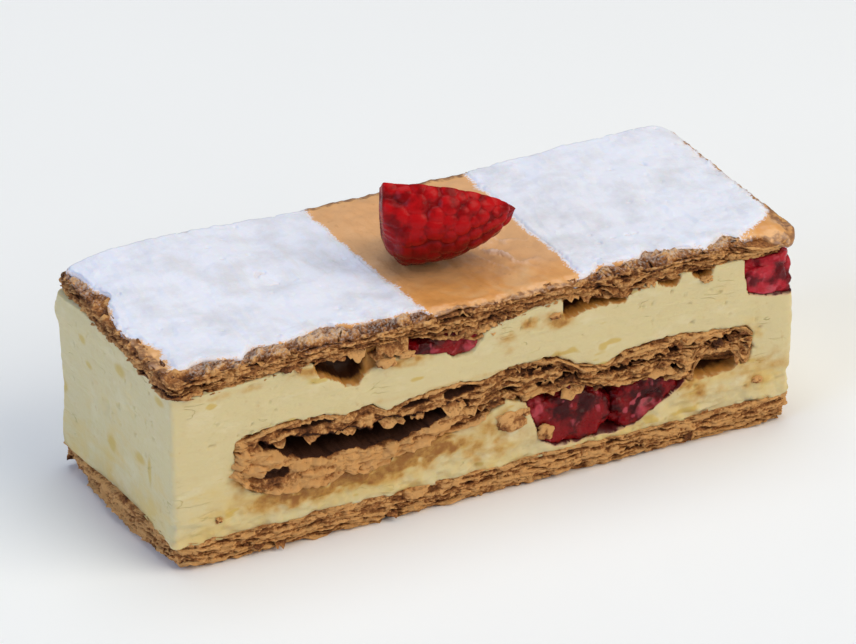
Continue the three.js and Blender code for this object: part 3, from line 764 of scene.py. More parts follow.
def top_level(x, y):
    """The sheet's upper face: slow waves, risen along the back, and rolled down at the front edge."""
    front = TOP_HEIGHT - 0.65 + 0.3 * lumps(x / 26 + 2, y / 26 + 6, 82, 2)
    level = front + (on_line(BACK_EDGE, x) - 0.15 - front) * ease(y, -12, HALF_WIDTH)
    return level - (1 - ease(HALF_WIDTH + y, -1, 2.5))


# How far the sugar stops short of the front edge, as x and millimetres, and of the left end, as y and mm
SHORT_OF_FRONT = [
    (-60, 3.2), (-56.7, 2.0), (-52.7, 2.8), (-49.5, 2.0), (-45.8, 1.6), (-42.7, 4.1), (-37.8, 2.8),
    (-34, 3.6), (-28.6, 5.2), (-25.2, 3.1), (-19.6, 3.1), (-12, 2.5), (-10.6, 1.1), (19, 1.1),
    (23.2, 3.0), (27.5, 2.5), (30.8, 2.8), (32.6, 4.5), (35, 3.2), (41.8, 1.4), (42.7, 1.0),
    (47.5, 3.1), (49.1, 1.8), (53.7, 2.8), (57, 5), (60, 9),
]  # fmt: skip
SHORT_OF_LEFT = [
    (-22, 3.1), (-18.4, 2.3), (-12.2, 2.9), (-8.1, 1.9), (-5.4, 0.6), (2.5, 0.7), (8.2, 3.3),
    (13.9, 2.3), (22, 1.4),
]  # fmt: skip


def skin_short(x, y):
    """How far the skin stops short of the front edge, where the knife crumbled it beside the band, and of
    the left end, where it did so towards the back."""
    front = on_line(SHORT_OF_FRONT, np.minimum(x, 54)) - 0.6
    front = np.where(np.abs(x - BAND_MIDDLE) > 14, front, 0)
    left = (on_line(SHORT_OF_LEFT, y) - 0.4) * ease(y, -3, 3)
    return front * (1 - ease(x, 54, 57)), np.maximum(left, 0)


def broken_top(x, y):
    """The upper face outside the skin: leaves broken off in chips and steps, and below the skin, sunk."""
    front, left = skin_short(x, y)
    inside = np.minimum(y + HALF_WIDTH - front, x + HALF_LENGTH - left)
    inside = np.minimum(inside, np.minimum(HALF_LENGTH - x, HALF_WIDTH - y) * 2 + 0.9)
    chips = 0.55 * lumps(x / 2.6 + 9, y / 1.5 + 9, 84, 2, blend=0.15)
    crumbs = chips + 0.8 * np.abs(lumps(x / 1.1 + 9, y / 1.0 + 9, 85, 2)) - 0.35
    crumbs = crumbs * (1 - ease(inside, -0.3, 0.5)) * (1 - at_nose(x, y))
    return crumbs - 0.5 * ease(inside, 0.3, 1.0) - 0.5 * ease(inside, 1.6, 3)


def at_nose(x, y):
    """1 at the front right corner, a thick rounded nose, and 0 away from it."""
    return ease(x, 47, 55) * ease(-y, 10, 18)


def top_swell(x, y, z):
    """The front right corner is a thick rounded nose, the left end stands out, the wall leans in towards
    its foot, and near the front left corner the lowest leaf hangs apart from the rest. The gap under it
    is painted dark, painted shade, and the smooth nose a little lighter."""
    left = (0.5 + 0.7 * ease(-y, 4, 10)) * ease(-x, 52, 59) * (1 - ease(y, 6, 16))
    lean = 0.9 * (1 - ease(z, 33, 36.5))
    from_corner = np.maximum(x + HALF_LENGTH, y + HALF_WIDTH)
    rough = 0.25 * lumps((x - y) / 1.5 + 30, z / 1.2, 83, 3)
    split = 1.0 - 0.6 * ease(from_corner, 4, 11) - np.abs(z - 35.0 - 0.04 * from_corner) + rough
    gap = 3.0 * ease(split, 0.2, 0.7) * (1 - ease(from_corner, 9, 12))
    smooth = np.maximum(at_nose(x, y) * ease(z, 33.5, 35), 0.9 * ease(x, 57, 59.5) * ease(z, 36.0, 37.5))
    nose = 1.2 * at_nose(x, y) * ease(z, 33.8, 35.5)
    return left + nose - lean - gap, 1.3 * ease(gap, 0.1, 0.9) - 0.2 * smooth, 0.85 * smooth


def sheet_rim(x, y):
    """The top of the wall, lowest at the back, where the skin hides it."""
    return top_level(x, y) - 0.2 - 0.6 * ease(y, 16, 21) - 1.3 * at_nose(x, y)


def dust_at(points):
    """How much of the sifted sugar the top sheet's walls caught: little beside the band or at the left."""
    x, y, z = points.T
    band, left = ease(np.abs(x - BAND_MIDDLE), 17, 12), ease(-x, 55, 58) * ease(-y, -16, -6)
    return ease(z, 35.5, 38.8) * (1 - 0.75 * band) * (1 - 0.7 * left) * (1 - 0.8 * ease(x, 54, 57))


top_outline = Outline(*FOOTPRINT, TOP_CORNERS, LEAF_STEP)
sugared_pastry = baked_finish("sugared_pastry", 0.8)
body, recess = leafy_sheet(
    top_outline, top_underside, sheet_rim, top_swell,
    leaves=7, rows=50, seed=37, broken_top=broken_top, crumbly=0.55,
)  # fmt: skip
marks = {"recess": recess + 0.13, "dust": dust_at(body[0])}
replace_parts(put_mesh("top_sheet", body, sugared_pastry, marks), "pastry_top")


def closed_plates(upper, lower):
    """The points and faces of plates, from their upper and lower faces as grids (plates x rows x columns
    x 3), in which rows, columns and up are a right-handed set."""
    face = np.arange(upper[..., 0].size).reshape(upper.shape[:3])
    under = face + face.size
    corners = [
        (face[:, :-1, :-1], face[:, 1:, :-1], face[:, 1:, 1:], face[:, :-1, 1:]),
        (under[:, :-1, :-1], under[:, :-1, 1:], under[:, 1:, 1:], under[:, 1:, :-1]),
        (face[:, :-1, 0], under[:, :-1, 0], under[:, 1:, 0], face[:, 1:, 0]),
        (face[:, 1:, -1], under[:, 1:, -1], under[:, :-1, -1], face[:, :-1, -1]),
        (face[:, 0, 1:], under[:, 0, 1:], under[:, 0, :-1], face[:, 0, :-1]),
        (face[:, -1, :-1], under[:, -1, :-1], under[:, -1, 1:], face[:, -1, 1:]),
    ]
    faces = np.vstack([np.stack(four, -1).reshape(-1, 4) for four in corners])
    return np.vstack([upper.reshape(-1, 3), lower.reshape(-1, 3)]), faces.tolist()


def rounded_grid(x, y):
    """Moves the points of a grid of x and y so that the sheet's square corners become round ones."""
    right = np.where(y < 0, TOP_CORNERS[0], TOP_CORNERS[1])
    left = np.where(y < 0, TOP_CORNERS[3], TOP_CORNERS[2])
    radius = np.where(x > 0, right, left)
    middle_x = np.clip(x, radius - HALF_LENGTH, HALF_LENGTH - radius)
    middle_y = np.clip(y, radius - HALF_WIDTH, HALF_WIDTH - radius)
    off_x, off_y = x - middle_x, y - middle_y
    share = np.maximum(np.abs(off_x), np.abs(off_y)) / np.maximum(np.hypot(off_x, off_y), 1e-9)
    return middle_x + off_x * share, middle_y + off_y * share


# The bare, glazed band across the top: where it starts and ends on the front and on the back
BAND_FRONT, BAND_BACK = (-11.0, 18.5), (-13.2, 18.6)


def band_edges(y):
    """The x at which the band starts and ends, on straight lines from the front to the back."""
    back = (y + HALF_WIDTH) / (2 * HALF_WIDTH)
    return [front + (rear - front) * back for front, rear in zip(BAND_FRONT, BAND_BACK)]


def pulled_syrup(x, y):
    """Threads of syrup drawn out beside the berry: 1 on them, where random heights cross zero, 0 beside."""
    ridge = np.exp(-((lumps((x + 0.4 * y) / 2.4 + 40, (y - 0.3 * x) / 6 + 40, 97, 2) / 0.16) ** 2))
    return ridge * np.exp(-(((x - 10.5) / 4.5) ** 2 + ((y + 7) / 6.0) ** 2))


def skin_level(x, y):
    """The skin's face above the sheet: blisters, fine wrinkles along the band, syrup drawn into ridges
    beside the berry, and a crackled, crumbly rim."""
    blisters = 0.22 * lumps(x / 5 + 1, y / 5 + 1, 91, 3)
    wrinkles = 0.10 * lumps(x / 1.1 + 1, y / 4.5 + 1, 92, 2)
    pulled = 0.7 * pulled_syrup(x, y)
    rim = 0.35 * lumps(x / 1.3 + 1, y / 1.3 + 1, 93, 3) - 0.1
    rim = rim * (1 - ease(from_edge(x, y), 0.8, 3)) * (y < 15)
    over = np.maximum(np.abs(x) - HALF_LENGTH, np.abs(y) - HALF_WIDTH)
    droop = 1.5 * at_nose(x, y) * ease(over, -3, 1.5)
    return top_level(x, y) + blisters + wrinkles + pulled + rim - droop


def skin_place(x, y):
    """Fits a grid of x and y to the skin's torn outline, drawn in where the knife crumbled its edge."""
    x, y = rounded_grid(x, y)
    nose = at_nose(x, y)
    torn = (0.2 + 0.5 * lumps(x / 3.1 + 5, y / 3.1 + 5, 94, 4)) * (1 - nose) * (1 - 0.5 * ease(x, 55, 59))
    short_front, short_left = skin_short(x, y)
    x = x - torn * np.sign(x) * ease(np.abs(x), HALF_LENGTH - 4, HALF_LENGTH)
    y = y + torn * ease(-y, HALF_WIDTH - 4, HALF_WIDTH)
    x = x + (short_left - 0.8 * ease(-y, 4, 10)) * ease(-x, HALF_LENGTH - 9, HALF_LENGTH)
    y = y + short_front * ease(-y, HALF_WIDTH - 9, HALF_WIDTH)
    return x + 1.5 * nose * ease(x, 54, 60), y - 1.5 * nose * ease(-y, 16, 22)


def skin_grid(start, end, half_width, step):
    """A grid over the skin, x from start to end and y to half_width on both sides, and the skin's level."""
    flat_x = np.linspace(start, end, round((end - start) / step))
    flat_y = np.linspace(-half_width, half_width, round(2 * HALF_WIDTH / step))
    x, y = skin_place(*np.meshgrid(flat_x, flat_y, indexing="ij"))
    return x, y, skin_level(x, y)


def plate(x, y, upper, lower):
    """One plate between two levels over a grid of x and y."""
    return closed_plates(np.stack([x, y, upper], -1)[None], np.stack([x, y, lower], -1)[None])


def sugar_cover(x, y):
    """How far inside the icing sugar each place lies, in millimetres. The sugar stops at the band and a
    little short of the sheet's edges."""
    band_start, band_end = band_edges(y)
    beside = np.maximum(band_start - x, x - band_end) + 0.4 * lumps(x / 2.6 + 7, y / 2.6 + 7, 95, 4)
    left = x + HALF_LENGTH + 0.3 - on_line(SHORT_OF_LEFT, y)
    front = y + HALF_WIDTH + 0.3 - on_line(SHORT_OF_FRONT, x)
    rim = np.minimum(np.minimum(left, HALF_LENGTH - 0.2 - x), np.minimum(front, HALF_WIDTH + 0.9 - y))
    return np.minimum(beside, rim + 0.6 * lumps(x / 1.9 + 3, y / 1.9 + 3, 96, 4))


GLAZE_DARK, GLAZE_AMBER = (0.60, 0.245, 0.055), (0.74, 0.335, 0.090)
GLAZE_LIGHT, GLAZE_PALE = (0.76, 0.44, 0.185), (0.76, 0.405, 0.175)
# Pale along the pulled syrup threads: a painted highlight on their ridges
SYRUP_THREAD_SHEEN = (0.88, 0.64, 0.54)
BLISTER_BROWN = (0.40, 0.15, 0.035)
glaze = Finish("glazed_skin")
tone = glaze.noise(6, 5, glaze.stretched(1, 1.8, 1), sharp=0.6)
mottle = glaze.noise(1.1, 4)
rim = glaze.mark("rim") + 1.3 * (mottle - 0.5)
dusting = glaze.mark("dust") + 1.6 * (glaze.noise(0.4, 2) - 0.5)
colour = glaze.ramp(tone, (0.28, GLAZE_DARK), (0.5, GLAZE_AMBER), (0.72, GLAZE_LIGHT))
colour = glaze.mix(glaze.mark("pale") + 0.6 * (tone - 0.5), colour, GLAZE_PALE)
# The syrup threads are painted pale, a painted highlight
colour = glaze.layers(
    glaze.mix(glaze.mark("thread") * 0.8, colour, SYRUP_THREAD_SHEEN),
    (mottle, 0.6, 0.78, 0.4, BLISTER_BROWN),
    (rim, 0.1, 0.6, 0.6, BAKED_LIGHT),
    (rim, 0.65, 1.1, 0.8, BAKED_DARK),
    (dusting, 0.3, 0.75, 0.85, SUGAR_WHITE),
)
glaze.set(Base_Color=colour, Roughness=0.5, Specular_IOR_Level=0.4)
glaze.set(Coat_Weight=glaze.mark("glaze") * 0.8, Coat_Roughness=0.22)
glaze.set(Normal=glaze.bump(glaze.noise(0.8, 4), 0.14))
SKIN_STEP = 0.42
x, y, level = skin_grid(-HALF_LENGTH, HALF_LENGTH, HALF_WIDTH, SKIN_STEP)
thick = 0.4 + 0.7 * ease(sum(skin_short(x, y)), 0.2, 0.8)
body = plate(x, y, level, level - thick)
x, y = body[0][:, 0], body[0][:, 1]
cover = sugar_cover(x, y)
front_rim = ease(-y, 19, 21) * (np.abs(x - BAND_MIDDLE) > 13) * (x < 54)
marks = {
    "rim": np.maximum(1 - ease(from_edge(x, y), 0.4, 2.4), 0.55 * ease(cover, -3, -0.8) * front_rim),
    "dust": 0.85 * ease(cover, -1.2, 0.5) + 0.4 * (1 - ease(from_edge(x, y), 0.5, 2)) * front_rim,
    "glaze": 1 - ease(cover, -1.5, 0),
    "pale": 0.85 * ease(y, -18, -5) + 0.6 * ease(x, 10, 17) * ease(y, -20, -12),
    "thread": pulled_syrup(x, y),
}
put_mesh("top_skin", body, glaze, marks)

# ---------------------------------------------------------------------------------------------------
# The icing sugar: sifted over a stencil strip that keeps the band bare. It lies as a soft crust about
# half a millimetre thick, pitted where flakes poke through.

SUGAR_STEP = 0.28
SUGAR_THICKNESS = 0.3
SUGAR_INSET = 0.3  # how far its grid stops short of the sheet's edges
SUGAR_SHADE = (0.69, 0.69, 0.75)
icing = Finish("icing_sugar")
cloud = icing.noise(6, 4)
powder = icing.noise(0.35, 3)
colour = icing.ramp(cloud + 0.15 * (powder - 0.5), (0.3, SUGAR_SHADE), (0.55, SUGAR_WHITE))
icing.set(Base_Color=colour, Roughness=0.95, Specular_IOR_Level=0.1)
icing.set(Subsurface_Weight=0.15, Subsurface_Scale=0.6 * MM)
icing.set(Normal=icing.bump(powder + 0.5 * icing.noise(0.12, 1), 0.07))


def sugar_patch(name, start, end):
    """Sugar over x from start to end: as thick as its cover lets it be, with a powdery face, and sunk
    below the skin where there is none."""
    x, y, level = skin_grid(start, end, HALF_WIDTH - SUGAR_INSET, SUGAR_STEP)
    cover = sugar_cover(x, y) + 0.3 * lumps(x / 0.7, y / 0.7, 101, 2)
    grain = 0.15 * lumps(x / 8 + 3, y / 8 + 3, 102, 2) + 0.05 * lumps(x / 0.7, y / 0.7, 103, 2)
    pits = ease(lumps(x / 1.5 + 8, y / 1.5 + 8, 104, 2), 0.95, 1.15)
    pits = pits * ease(lumps(x / 11, y / 11 + 3, 105), 0, 0.3)
    depth = 0.3 + SUGAR_THICKNESS + grain - 0.6 * pits
    upper = level - 0.3 + depth * ease(cover, -0.1, 0.9)
    put_mesh(name, plate(x, y, upper, level - 0.6), icing)


sugar_patch("sugar_left", SUGAR_INSET - HALF_LENGTH, BAND_FRONT[0] + 1.5)
sugar_patch("sugar_right", BAND_FRONT[1] - 1.5, HALF_LENGTH - SUGAR_INSET)

# ---------------------------------------------------------------------------------------------------
# Loose flakes: thin shards of leaf that the knife broke, which stand out of the cut walls, curl and
# hang down. Hundreds of them, each a plate about a fifth of a millimetre thick.

FLAKE_ALONG, FLAKE_OUT = 9, 5


def flakes(place, out, size, tilt, curl, seed):
    """Plates rooted in a wall: place is the root's middle, out the direction out of the wall, size the
    width and reach, tilt the slope up and curl its bend. Their outlines are torn by chance numbers."""
    chance = np.random.default_rng(seed)
    count = len(place)
    a = np.linspace(-1, 1, FLAKE_ALONG)
    b = np.linspace(0, 1, FLAKE_OUT)[:, None]
    torn = chance.uniform(0.4, 1.1, (count, 1, FLAKE_ALONG + 1))
    torn = (1 - 0.45 * a**4) * (torn[..., 1:] + torn[..., :-1]) / 2
    narrow = 1 - chance.uniform(0.0, 0.35, (count, 1, 1)) * b
    skew = chance.uniform(-0.5, 0.5, (count, 1, 1)) * b
    wave = chance.uniform(-0.4, 0.4, (count, 1, 1)) * np.sin(3 * a + chance.uniform(0, 6, (count, 1, 1)))
    width, reach = size[:, 0, None, None], size[:, 1, None, None]
    along = (a * narrow + skew) * width / 2
    outward = b * torn * reach - 0.7 * (1 - b)
    up = tilt[:, None, None] * outward + curl[:, None, None] * (b * torn) ** 2 * reach
    up = up + wave * (0.3 + b) + chance.uniform(-0.11, 0.11, (count, FLAKE_OUT, FLAKE_ALONG))
    (x, y, z), (out_x, out_y) = place.T[:, :, None, None], out.T[:, :, None, None]
    x, y = x + out_x * outward - out_y * along, y + out_y * outward + out_x * along
    upper = np.stack([x, y, np.maximum(z + up, 0.35)], -1)
    thick = chance.uniform(0.16, 0.3, (count, 1, 1)) * (1 - 0.5 * b) + 0 * a
    return closed_plates(upper, upper - thick[..., None] * [0, 0, 1])


def flake_shade(shade):
    """The mark recess over flakes of the given shades, darker towards their roots: painted shade where
    they meet the wall.
    """
    along = 0.3 * (1 - np.linspace(0, 1, FLAKE_OUT))
    each = shade[:, None, None] + along[None, :, None] + np.zeros((1, 1, FLAKE_ALONG))
    return np.tile(each.ravel(), 2)


def wall_flakes(name, outline, foot, top, count, seed, finish, span, inset, keep=None):
    """Flakes strewn over a sheet's wall where keep allows, between two shares of its height, and rooted
    inset millimetres behind its outline. Their widths follow a gamma curve: many small, a few big."""
    chance = np.random.default_rng(seed)
    step = chance.integers(0, len(outline.x), count)
    if keep is not None:
        step = step[keep(outline.x[step], outline.y[step])]
    count = len(step)
    x, y, out_x, out_y = outline.x[step], outline.y[step], outline.out_x[step], outline.out_y[step]
    rise = chance.uniform(*span, count) * np.where(y > HALF_WIDTH - 1, 0.8, 1)
    z = foot(x, y) + (top(x, y) - foot(x, y)) * rise
    place = np.column_stack([x - out_x * inset, y - out_y * inset, z])
    width = chance.gamma(3.0, 0.6, count) + 0.6
    reach = np.clip(0.3 * width, 0.3, 0.8) * chance.uniform(0.6, 1.4, count)
    tilt, curl = chance.normal(-0.2, 0.7, count), chance.normal(0, 0.5, count)
    size = np.column_stack([width, reach])
    body = flakes(place, np.column_stack([out_x, out_y]), size, tilt, curl, seed + 1)
    shade = flake_shade(chance.uniform(0.0, 0.6, count))
    put_mesh(name, body, finish, {"recess": shade, "dust": dust_at(body[0])})


def out_of_gap(x, y):
    """On the front and back walls, but not where the leaves have parted."""
    return (np.abs(y) > HALF_WIDTH - 1) & ((y > 0) | (x > -2))


def off_nose(x, y):
    """Away from the front right corner, which is smooth."""
    return (at_nose(x, y) < 0.1) & (x < 58)


for name, *sheet in (
    ("bottom", bottom_outline, bottom_foot, bottom_top, 260, 201, pastry_finish, (0.3, 0.95), 0.6),
    ("middle", sheet_outline, sheet_foot, sheet_top, 620, 211, pastry_finish, (0.08, 0.92), 0.6, out_of_gap),
    ("top", top_outline, top_underside, top_level, 600, 221, sugared_pastry, (0.22, 0.95), 0.5, off_nose),
):
    wall_flakes("flakes_" + name, *sheet)

# Bigger flakes on the front that hang down: x and height of the root, width, drop, tilt and shade
HANGING = [
    (-24.6, 35.4, 4.2, 3.4, -2.6, 0.0), (-18.2, 34.2, 5.4, 2.6, -2.2, 0.25),
    (-15.8, 33.6, 2.6, 2.4, -2.2, 0.0), (-20.2, 32.0, 4.6, 1.8, -1.6, 0.0),
    (-28.6, 34.6, 3.6, 1.4, -1.4, 0.3), (3.2, 35.0, 5.0, 2.4, -2.0, 0.1),
    (6.6, 35.0, 3.0, 1.8, -1.6, 0.2), (-4.0, 34.4, 5.0, 1.2, -1.0, 0.2), (0.2, 33.4, 4.6, 2.2, -1.6, 0.0),
    (-7.6, 20.0, 5.0, 2.8, -1.4, 0.1), (-4.2, 18.4, 5.0, 2.0, -1.0, 0.0), (2.4, 16.2, 5.0, 2.4, -1.6, -0.15),
    (17.6, 16.8, 5.0, 2.2, -1.3, 0.0), (12.4, 18.0, 5.0, 1.8, -0.9, 0.2), (25.0, 17.0, 5.6, 1.8, -0.8, 0.1),
    (32.6, 16.0, 7.0, 1.7, -0.8, 0.0), (37.4, 15.0, 4.0, 1.4, -0.7, 0.1), (12.4, 34.2, 2.6, 1.4, -2.0, 0.1),
    (-33.5, 20.8, 4.4, 1.8, -1.2, 0.2), (-27.0, 20.0, 4.0, 1.4, -1.2, 0.1),
    (-19.0, 19.6, 4.6, 1.6, -1.2, 0.1), (-13.0, 19.8, 3.6, 1.8, -1.4, 0.2),
    (-40.0, 21.0, 3.4, 1.2, -1.0, 0.2), (50.4, 15.6, 2.6, 2.2, -2.4, 0.3),
    (24.6, 33.4, 4.0, 1.0, -0.9, 0.2),
]  # fmt: skip
at_x, at_z, width, drop, slope, shade = np.transpose(HANGING)
place = np.column_stack([at_x, 0 * at_x - HALF_WIDTH + 0.9, at_z])
size = np.column_stack([width, drop / np.hypot(1, slope)])
body = flakes(place, np.tile([0.0, -1.0], (len(place), 1)), size, slope, 0.15 * slope, 231)
put_mesh("hanging_flakes", body, pastry_finish, {"recess": flake_shade(shade)})


def ball_rings(rows, steps):
    """Rings of a ball of radius 1: the sine and cosine of the rise and of the turn."""
    rise = np.linspace(0.1, np.pi - 0.1, rows)[:, None]
    turn = np.linspace(0, 2 * np.pi, steps, endpoint=False)[None, :]
    return np.stack([np.sin(rise) * np.cos(turn), np.sin(rise) * np.sin(turn), -np.cos(rise) + 0 * turn], -1)


def ball_body(rings):
    """Bodies from their rings, each closed by points in the middle of its first and its last ring."""
    return ringed_body(rings, np.stack([rings[:, 0].mean(1), rings[:, -1].mean(1)], 1))


# Crumbs of pastry stuck to the cream: x and height, half the width and height, and the shade
CRUMBS = np.array([
    (11.0, 9.8, 1.6, 1.4, 0.0), (7.2, 14.8, 0.9, 0.6, 0.0), (4.3, 13.8, 3.0, 1.9, 0.1),
    (13.0, 32.0, 1.2, 0.6, 0.0), (-19.6, 30.9, 2.0, 0.8, 0.0), (43.0, 31.9, 1.2, 0.5, -0.1),
    (-51.8, 8.8, 0.6, 0.45, 0.25), (-15.6, 31.6, 1.6, 0.6, -0.1), (53.4, 9.6, 0.9, 0.6, 0.1),
])  # fmt: skip
at_x, at_z, wide, high, shade = CRUMBS.T[:, :, None, None]
ball = ball_rings(16, 24)
ball = np.sign(ball) * np.abs(ball) ** 0.7
broken = lumps(at_x + ball[..., 0] * 2.2, at_z + ball[..., 2] * 1.6 + ball[..., 1] + 30, 241, 4)
middle = np.stack([at_x, 0 * at_x + 0.35 - HALF_WIDTH, at_z], -1)
half = np.stack([wide, 0 * wide + 0.8, high], -1)
rings = middle + ball * half * (1 + 0.24 * broken)[..., None]
# Painted light and shade: lighter on the crumbs' bumps and tops, darker on their undersides
recess = np.append(shade - 0.5 * broken - 0.4 * ball[..., 2], np.repeat(shade, 2))
put_mesh("crumbs", ball_body(rings), pastry_finish, {"recess": recess})

# ---------------------------------------------------------------------------------------------------
# The crushed raspberries: whole fruit pressed into the cream and cut through with it, wet and dark.
# Hardly a drupelet is left whole.


def swollen(points, out, middles, radii, rise):
    """Points of a body moved out along their directions so that a round drupelet of height rise stands
    over each middle, and how high on the domes they lie, from 0 to 1."""
    apart = np.linalg.norm(points[:, None, :] - middles[None], axis=2) / radii[None]
    near = apart.argmin(1)
    apart = apart[np.arange(len(points)), near]
    dome = np.sqrt(np.maximum(1 - (0.94 * np.minimum(apart, 1.06)) ** 2, 0))
    return points + out * (dome * radii[near] * rise)[:, None], dome


# Pale pink of bruised and cut flesh, also used for painted highlights
PALE_FLESH_AND_HIGHLIGHT = (0.60, 0.085, 0.115)


def berry_finish(name, dark, bright, gloss, shaded=0.0, wet=0.0):
    """Raspberry skin: deeper red in the creases, painted shade, and in soft patches. It is paler on bruised
    and cut flesh and at painted highlights, as the mark flesh says. It is darker below the height shaded,
    painted shade underneath. wet, 0 or 1, is for crushed fruit: uneven and coated with juice."""
    finish = Finish(name)
    patch = finish.noise(3.0, 3)
    # Painted shade in the creases between drupelets
    colour = finish.mix(finish.mark("crease") * (0.65 + 0.35 * wet), bright, dark)
    colour = finish.layers(colour, (patch, 0.42, 0.64, 0.7 + 0.2 * wet, dark))
    # Painted shade: darker towards the bottom
    if shaded:
        colour = finish.mix((1 - finish.height().step(shaded, shaded + 13)) * 0.9, colour, dark)
    pale_share = finish.mark("flesh") + 0.9 * (finish.noise(1.6, 3) - 0.5)
    # Pale flesh, and painted highlights on crushed fruit
    colour = finish.layers(colour, (pale_share, 0.5, 1.2, 0.75 - 0.1 * wet, PALE_FLESH_AND_HIGHLIGHT))
    finish.set(Base_Color=colour, Roughness=gloss, Specular_IOR_Level=0.12)
    finish.set(Subsurface_Weight=0.1, Subsurface_Scale=0.9 * MM, Subsurface_Radius=(1.0, 0.1, 0.08))
    finish.set(Normal=finish.bump(finish.noise(0.5 + 0.3 * wet, 3 + wet), 0.05 + 0.3 * wet))
    finish.set(Coat_Weight=0.12 * wet, Coat_Roughness=0.15)
    return finish


def spread_middles(points, count, seed):
    """Points chosen one after another, each as far as can be from those before it."""
    chosen = [np.random.default_rng(seed).integers(len(points))]
    apart = np.linalg.norm(points - points[chosen[0]], axis=1)
    for _ in range(count - 1):
        chosen.append(apart.argmax())
        apart = np.minimum(apart, np.linalg.norm(points - points[chosen[-1]], axis=1))
    return points[chosen]


BALL_ROWS, BALL_STEPS = 90, 130
BEHIND = 2.4  # how far a berry lies back behind the cream below its pocket


def crushed_berry(node, finish, drupelet, seed, cuts, brick, pale_at, pocket, shift=0.0):
    """A berry that fills its CAD node's box: between a ball, brick 0, and a brick, 1, with drupelets of
    about the given width crushed together all over it, and pressed flat against the knife's sides that
    cuts names. It is paler in patches, most of all near pale_at, which is pale crushed flesh and painted
    highlight, and paler on the drupelets' tops, a painted highlight. Its creases are darker, painted shade.
    Below the floor line pocket it lies back behind the cream. shift moves it along the slice."""
    low, high = box_of(node)
    middle, half = (low + high) / 2 + [shift, 0, 0], (high - low) / 2
    ball = ball_rings(BALL_ROWS, BALL_STEPS).reshape(-1, 3)
    points = middle + np.sign(ball) * np.abs(ball) ** (1 - 0.65 * brick) * (half - 0.12 * drupelet)
    count = round((half[0] * half[2] + half[0] * half[1] + half[1] * half[2]) * 8 / drupelet**2)
    middles = spread_middles(points, count, seed)
    radii = drupelet * np.random.default_rng(seed).uniform(0.45, 0.85, count)
    points, dome = swollen(points, ball, middles, radii, 0.65)
    u, v = points[:, 0] / 2.3 + 50, (points[:, 2] + 0.6 * points[:, 1]) / 2.1 + 50
    points = points + ball * 0.6 * lumps(u, v, seed, 4)[:, None]
    for axis, side, at in cuts:
        points[:, axis] -= side * 0.35 * np.maximum((points[:, axis] - at) * side, 0)
    points[:, 1] += BEHIND * ease(-above(pocket, points[:, 0], points[:, 2]), 0.0, 0.8)
    near = np.exp(-np.sum(((points - pale_at) / 2.6) ** 2, axis=1))
    pale = 1.2 * near + 0.9 * ease(lumps(u * 1.7, v * 1.7, seed + 1, 2), 0.2, 0.8)
    # Paler on the drupelets' tops: painted highlight
    pale = pale + 0.5 * ease(dome, 0.75, 1) - 0.45
    body = ball_body(points.reshape(1, BALL_ROWS, BALL_STEPS, 3))
    marks = {"flesh": np.append(pale, [0, 0]), "crease": np.append(1 - ease(dome, 0.3, 0.95), [0, 0])}
    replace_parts(put_mesh(node + "_fruit", body, finish, marks), node)


wet_berry = berry_finish("crushed_raspberry", (0.026, 0.0005, 0.0008), (0.22, 0.003, 0.005), 0.2, wet=1)
FRONT_CUT = (1, -1, 1.0 - HALF_WIDTH)
END_CUT = (0, 1, HALF_LENGTH + 0.4)
for name, drupelet, seed, brick, pale_at, pocket in (
    ("lower_left", 2.6, 301, 0.6, (9.5, -22, 14.2), LOWER_FRUIT_FLOOR),
    ("lower_right", 2.6, 302, 0.6, (30.4, -22, 9.6), LOWER_FRUIT_FLOOR),
    ("upper", 2.4, 303, 0.5, (-2.6, -22, 30.0), UPPER_FRUIT_FLOOR),
):
    crushed_berry("raspberry_" + name, wet_berry, drupelet, seed, [FRONT_CUT], brick, pale_at, pocket)
bright_berry = berry_finish("cut_raspberry", (0.08, 0.001, 0.003), (0.46, 0.016, 0.030), 0.22, wet=1)
cuts = [FRONT_CUT, END_CUT]
pale_at = (56, -22, 26.2)
crushed_berry("raspberry_corner", bright_berry, 2.7, 304, cuts, 0.8, pale_at, CORNER_FRUIT_FLOOR, shift=1.3)

# ---------------------------------------------------------------------------------------------------
# The half raspberry: a fresh berry split along its length and laid on its round side on the band. Its
# cut face, with the hollow that the stalk left, looks up and away from the front.

BERRY_LENGTH = 23.0
BERRY_RADIUS = 9.7
BERRY_SEAT = np.array([1.4, -5.2])
BERRY_AXIS = np.radians(-30.6)
CUT_TILT = np.radians(41)
HOLLOW_DEPTH, HOLLOW_MOUTH, HOLLOW_END = 0.62, 0.44, 0.14
BERRY_ROWS = 150


def thimble(way, angle):
    """A raspberry's radius, as a share of its widest, along the way from its base, 0, to its tip, 1. Its
    base is drawn in, but not where the angle is near 0, at the cut's near rim."""
    drawn_in = 0.45 * (1 - np.maximum(np.cos(angle), 0) ** 2)
    shoulder = 1 - drawn_in * (1 - np.sin(np.pi / 2 * np.clip(way / 0.22, 0, 1)))
    return shoulder * np.maximum(1 - way**2.5, 0) ** 0.72


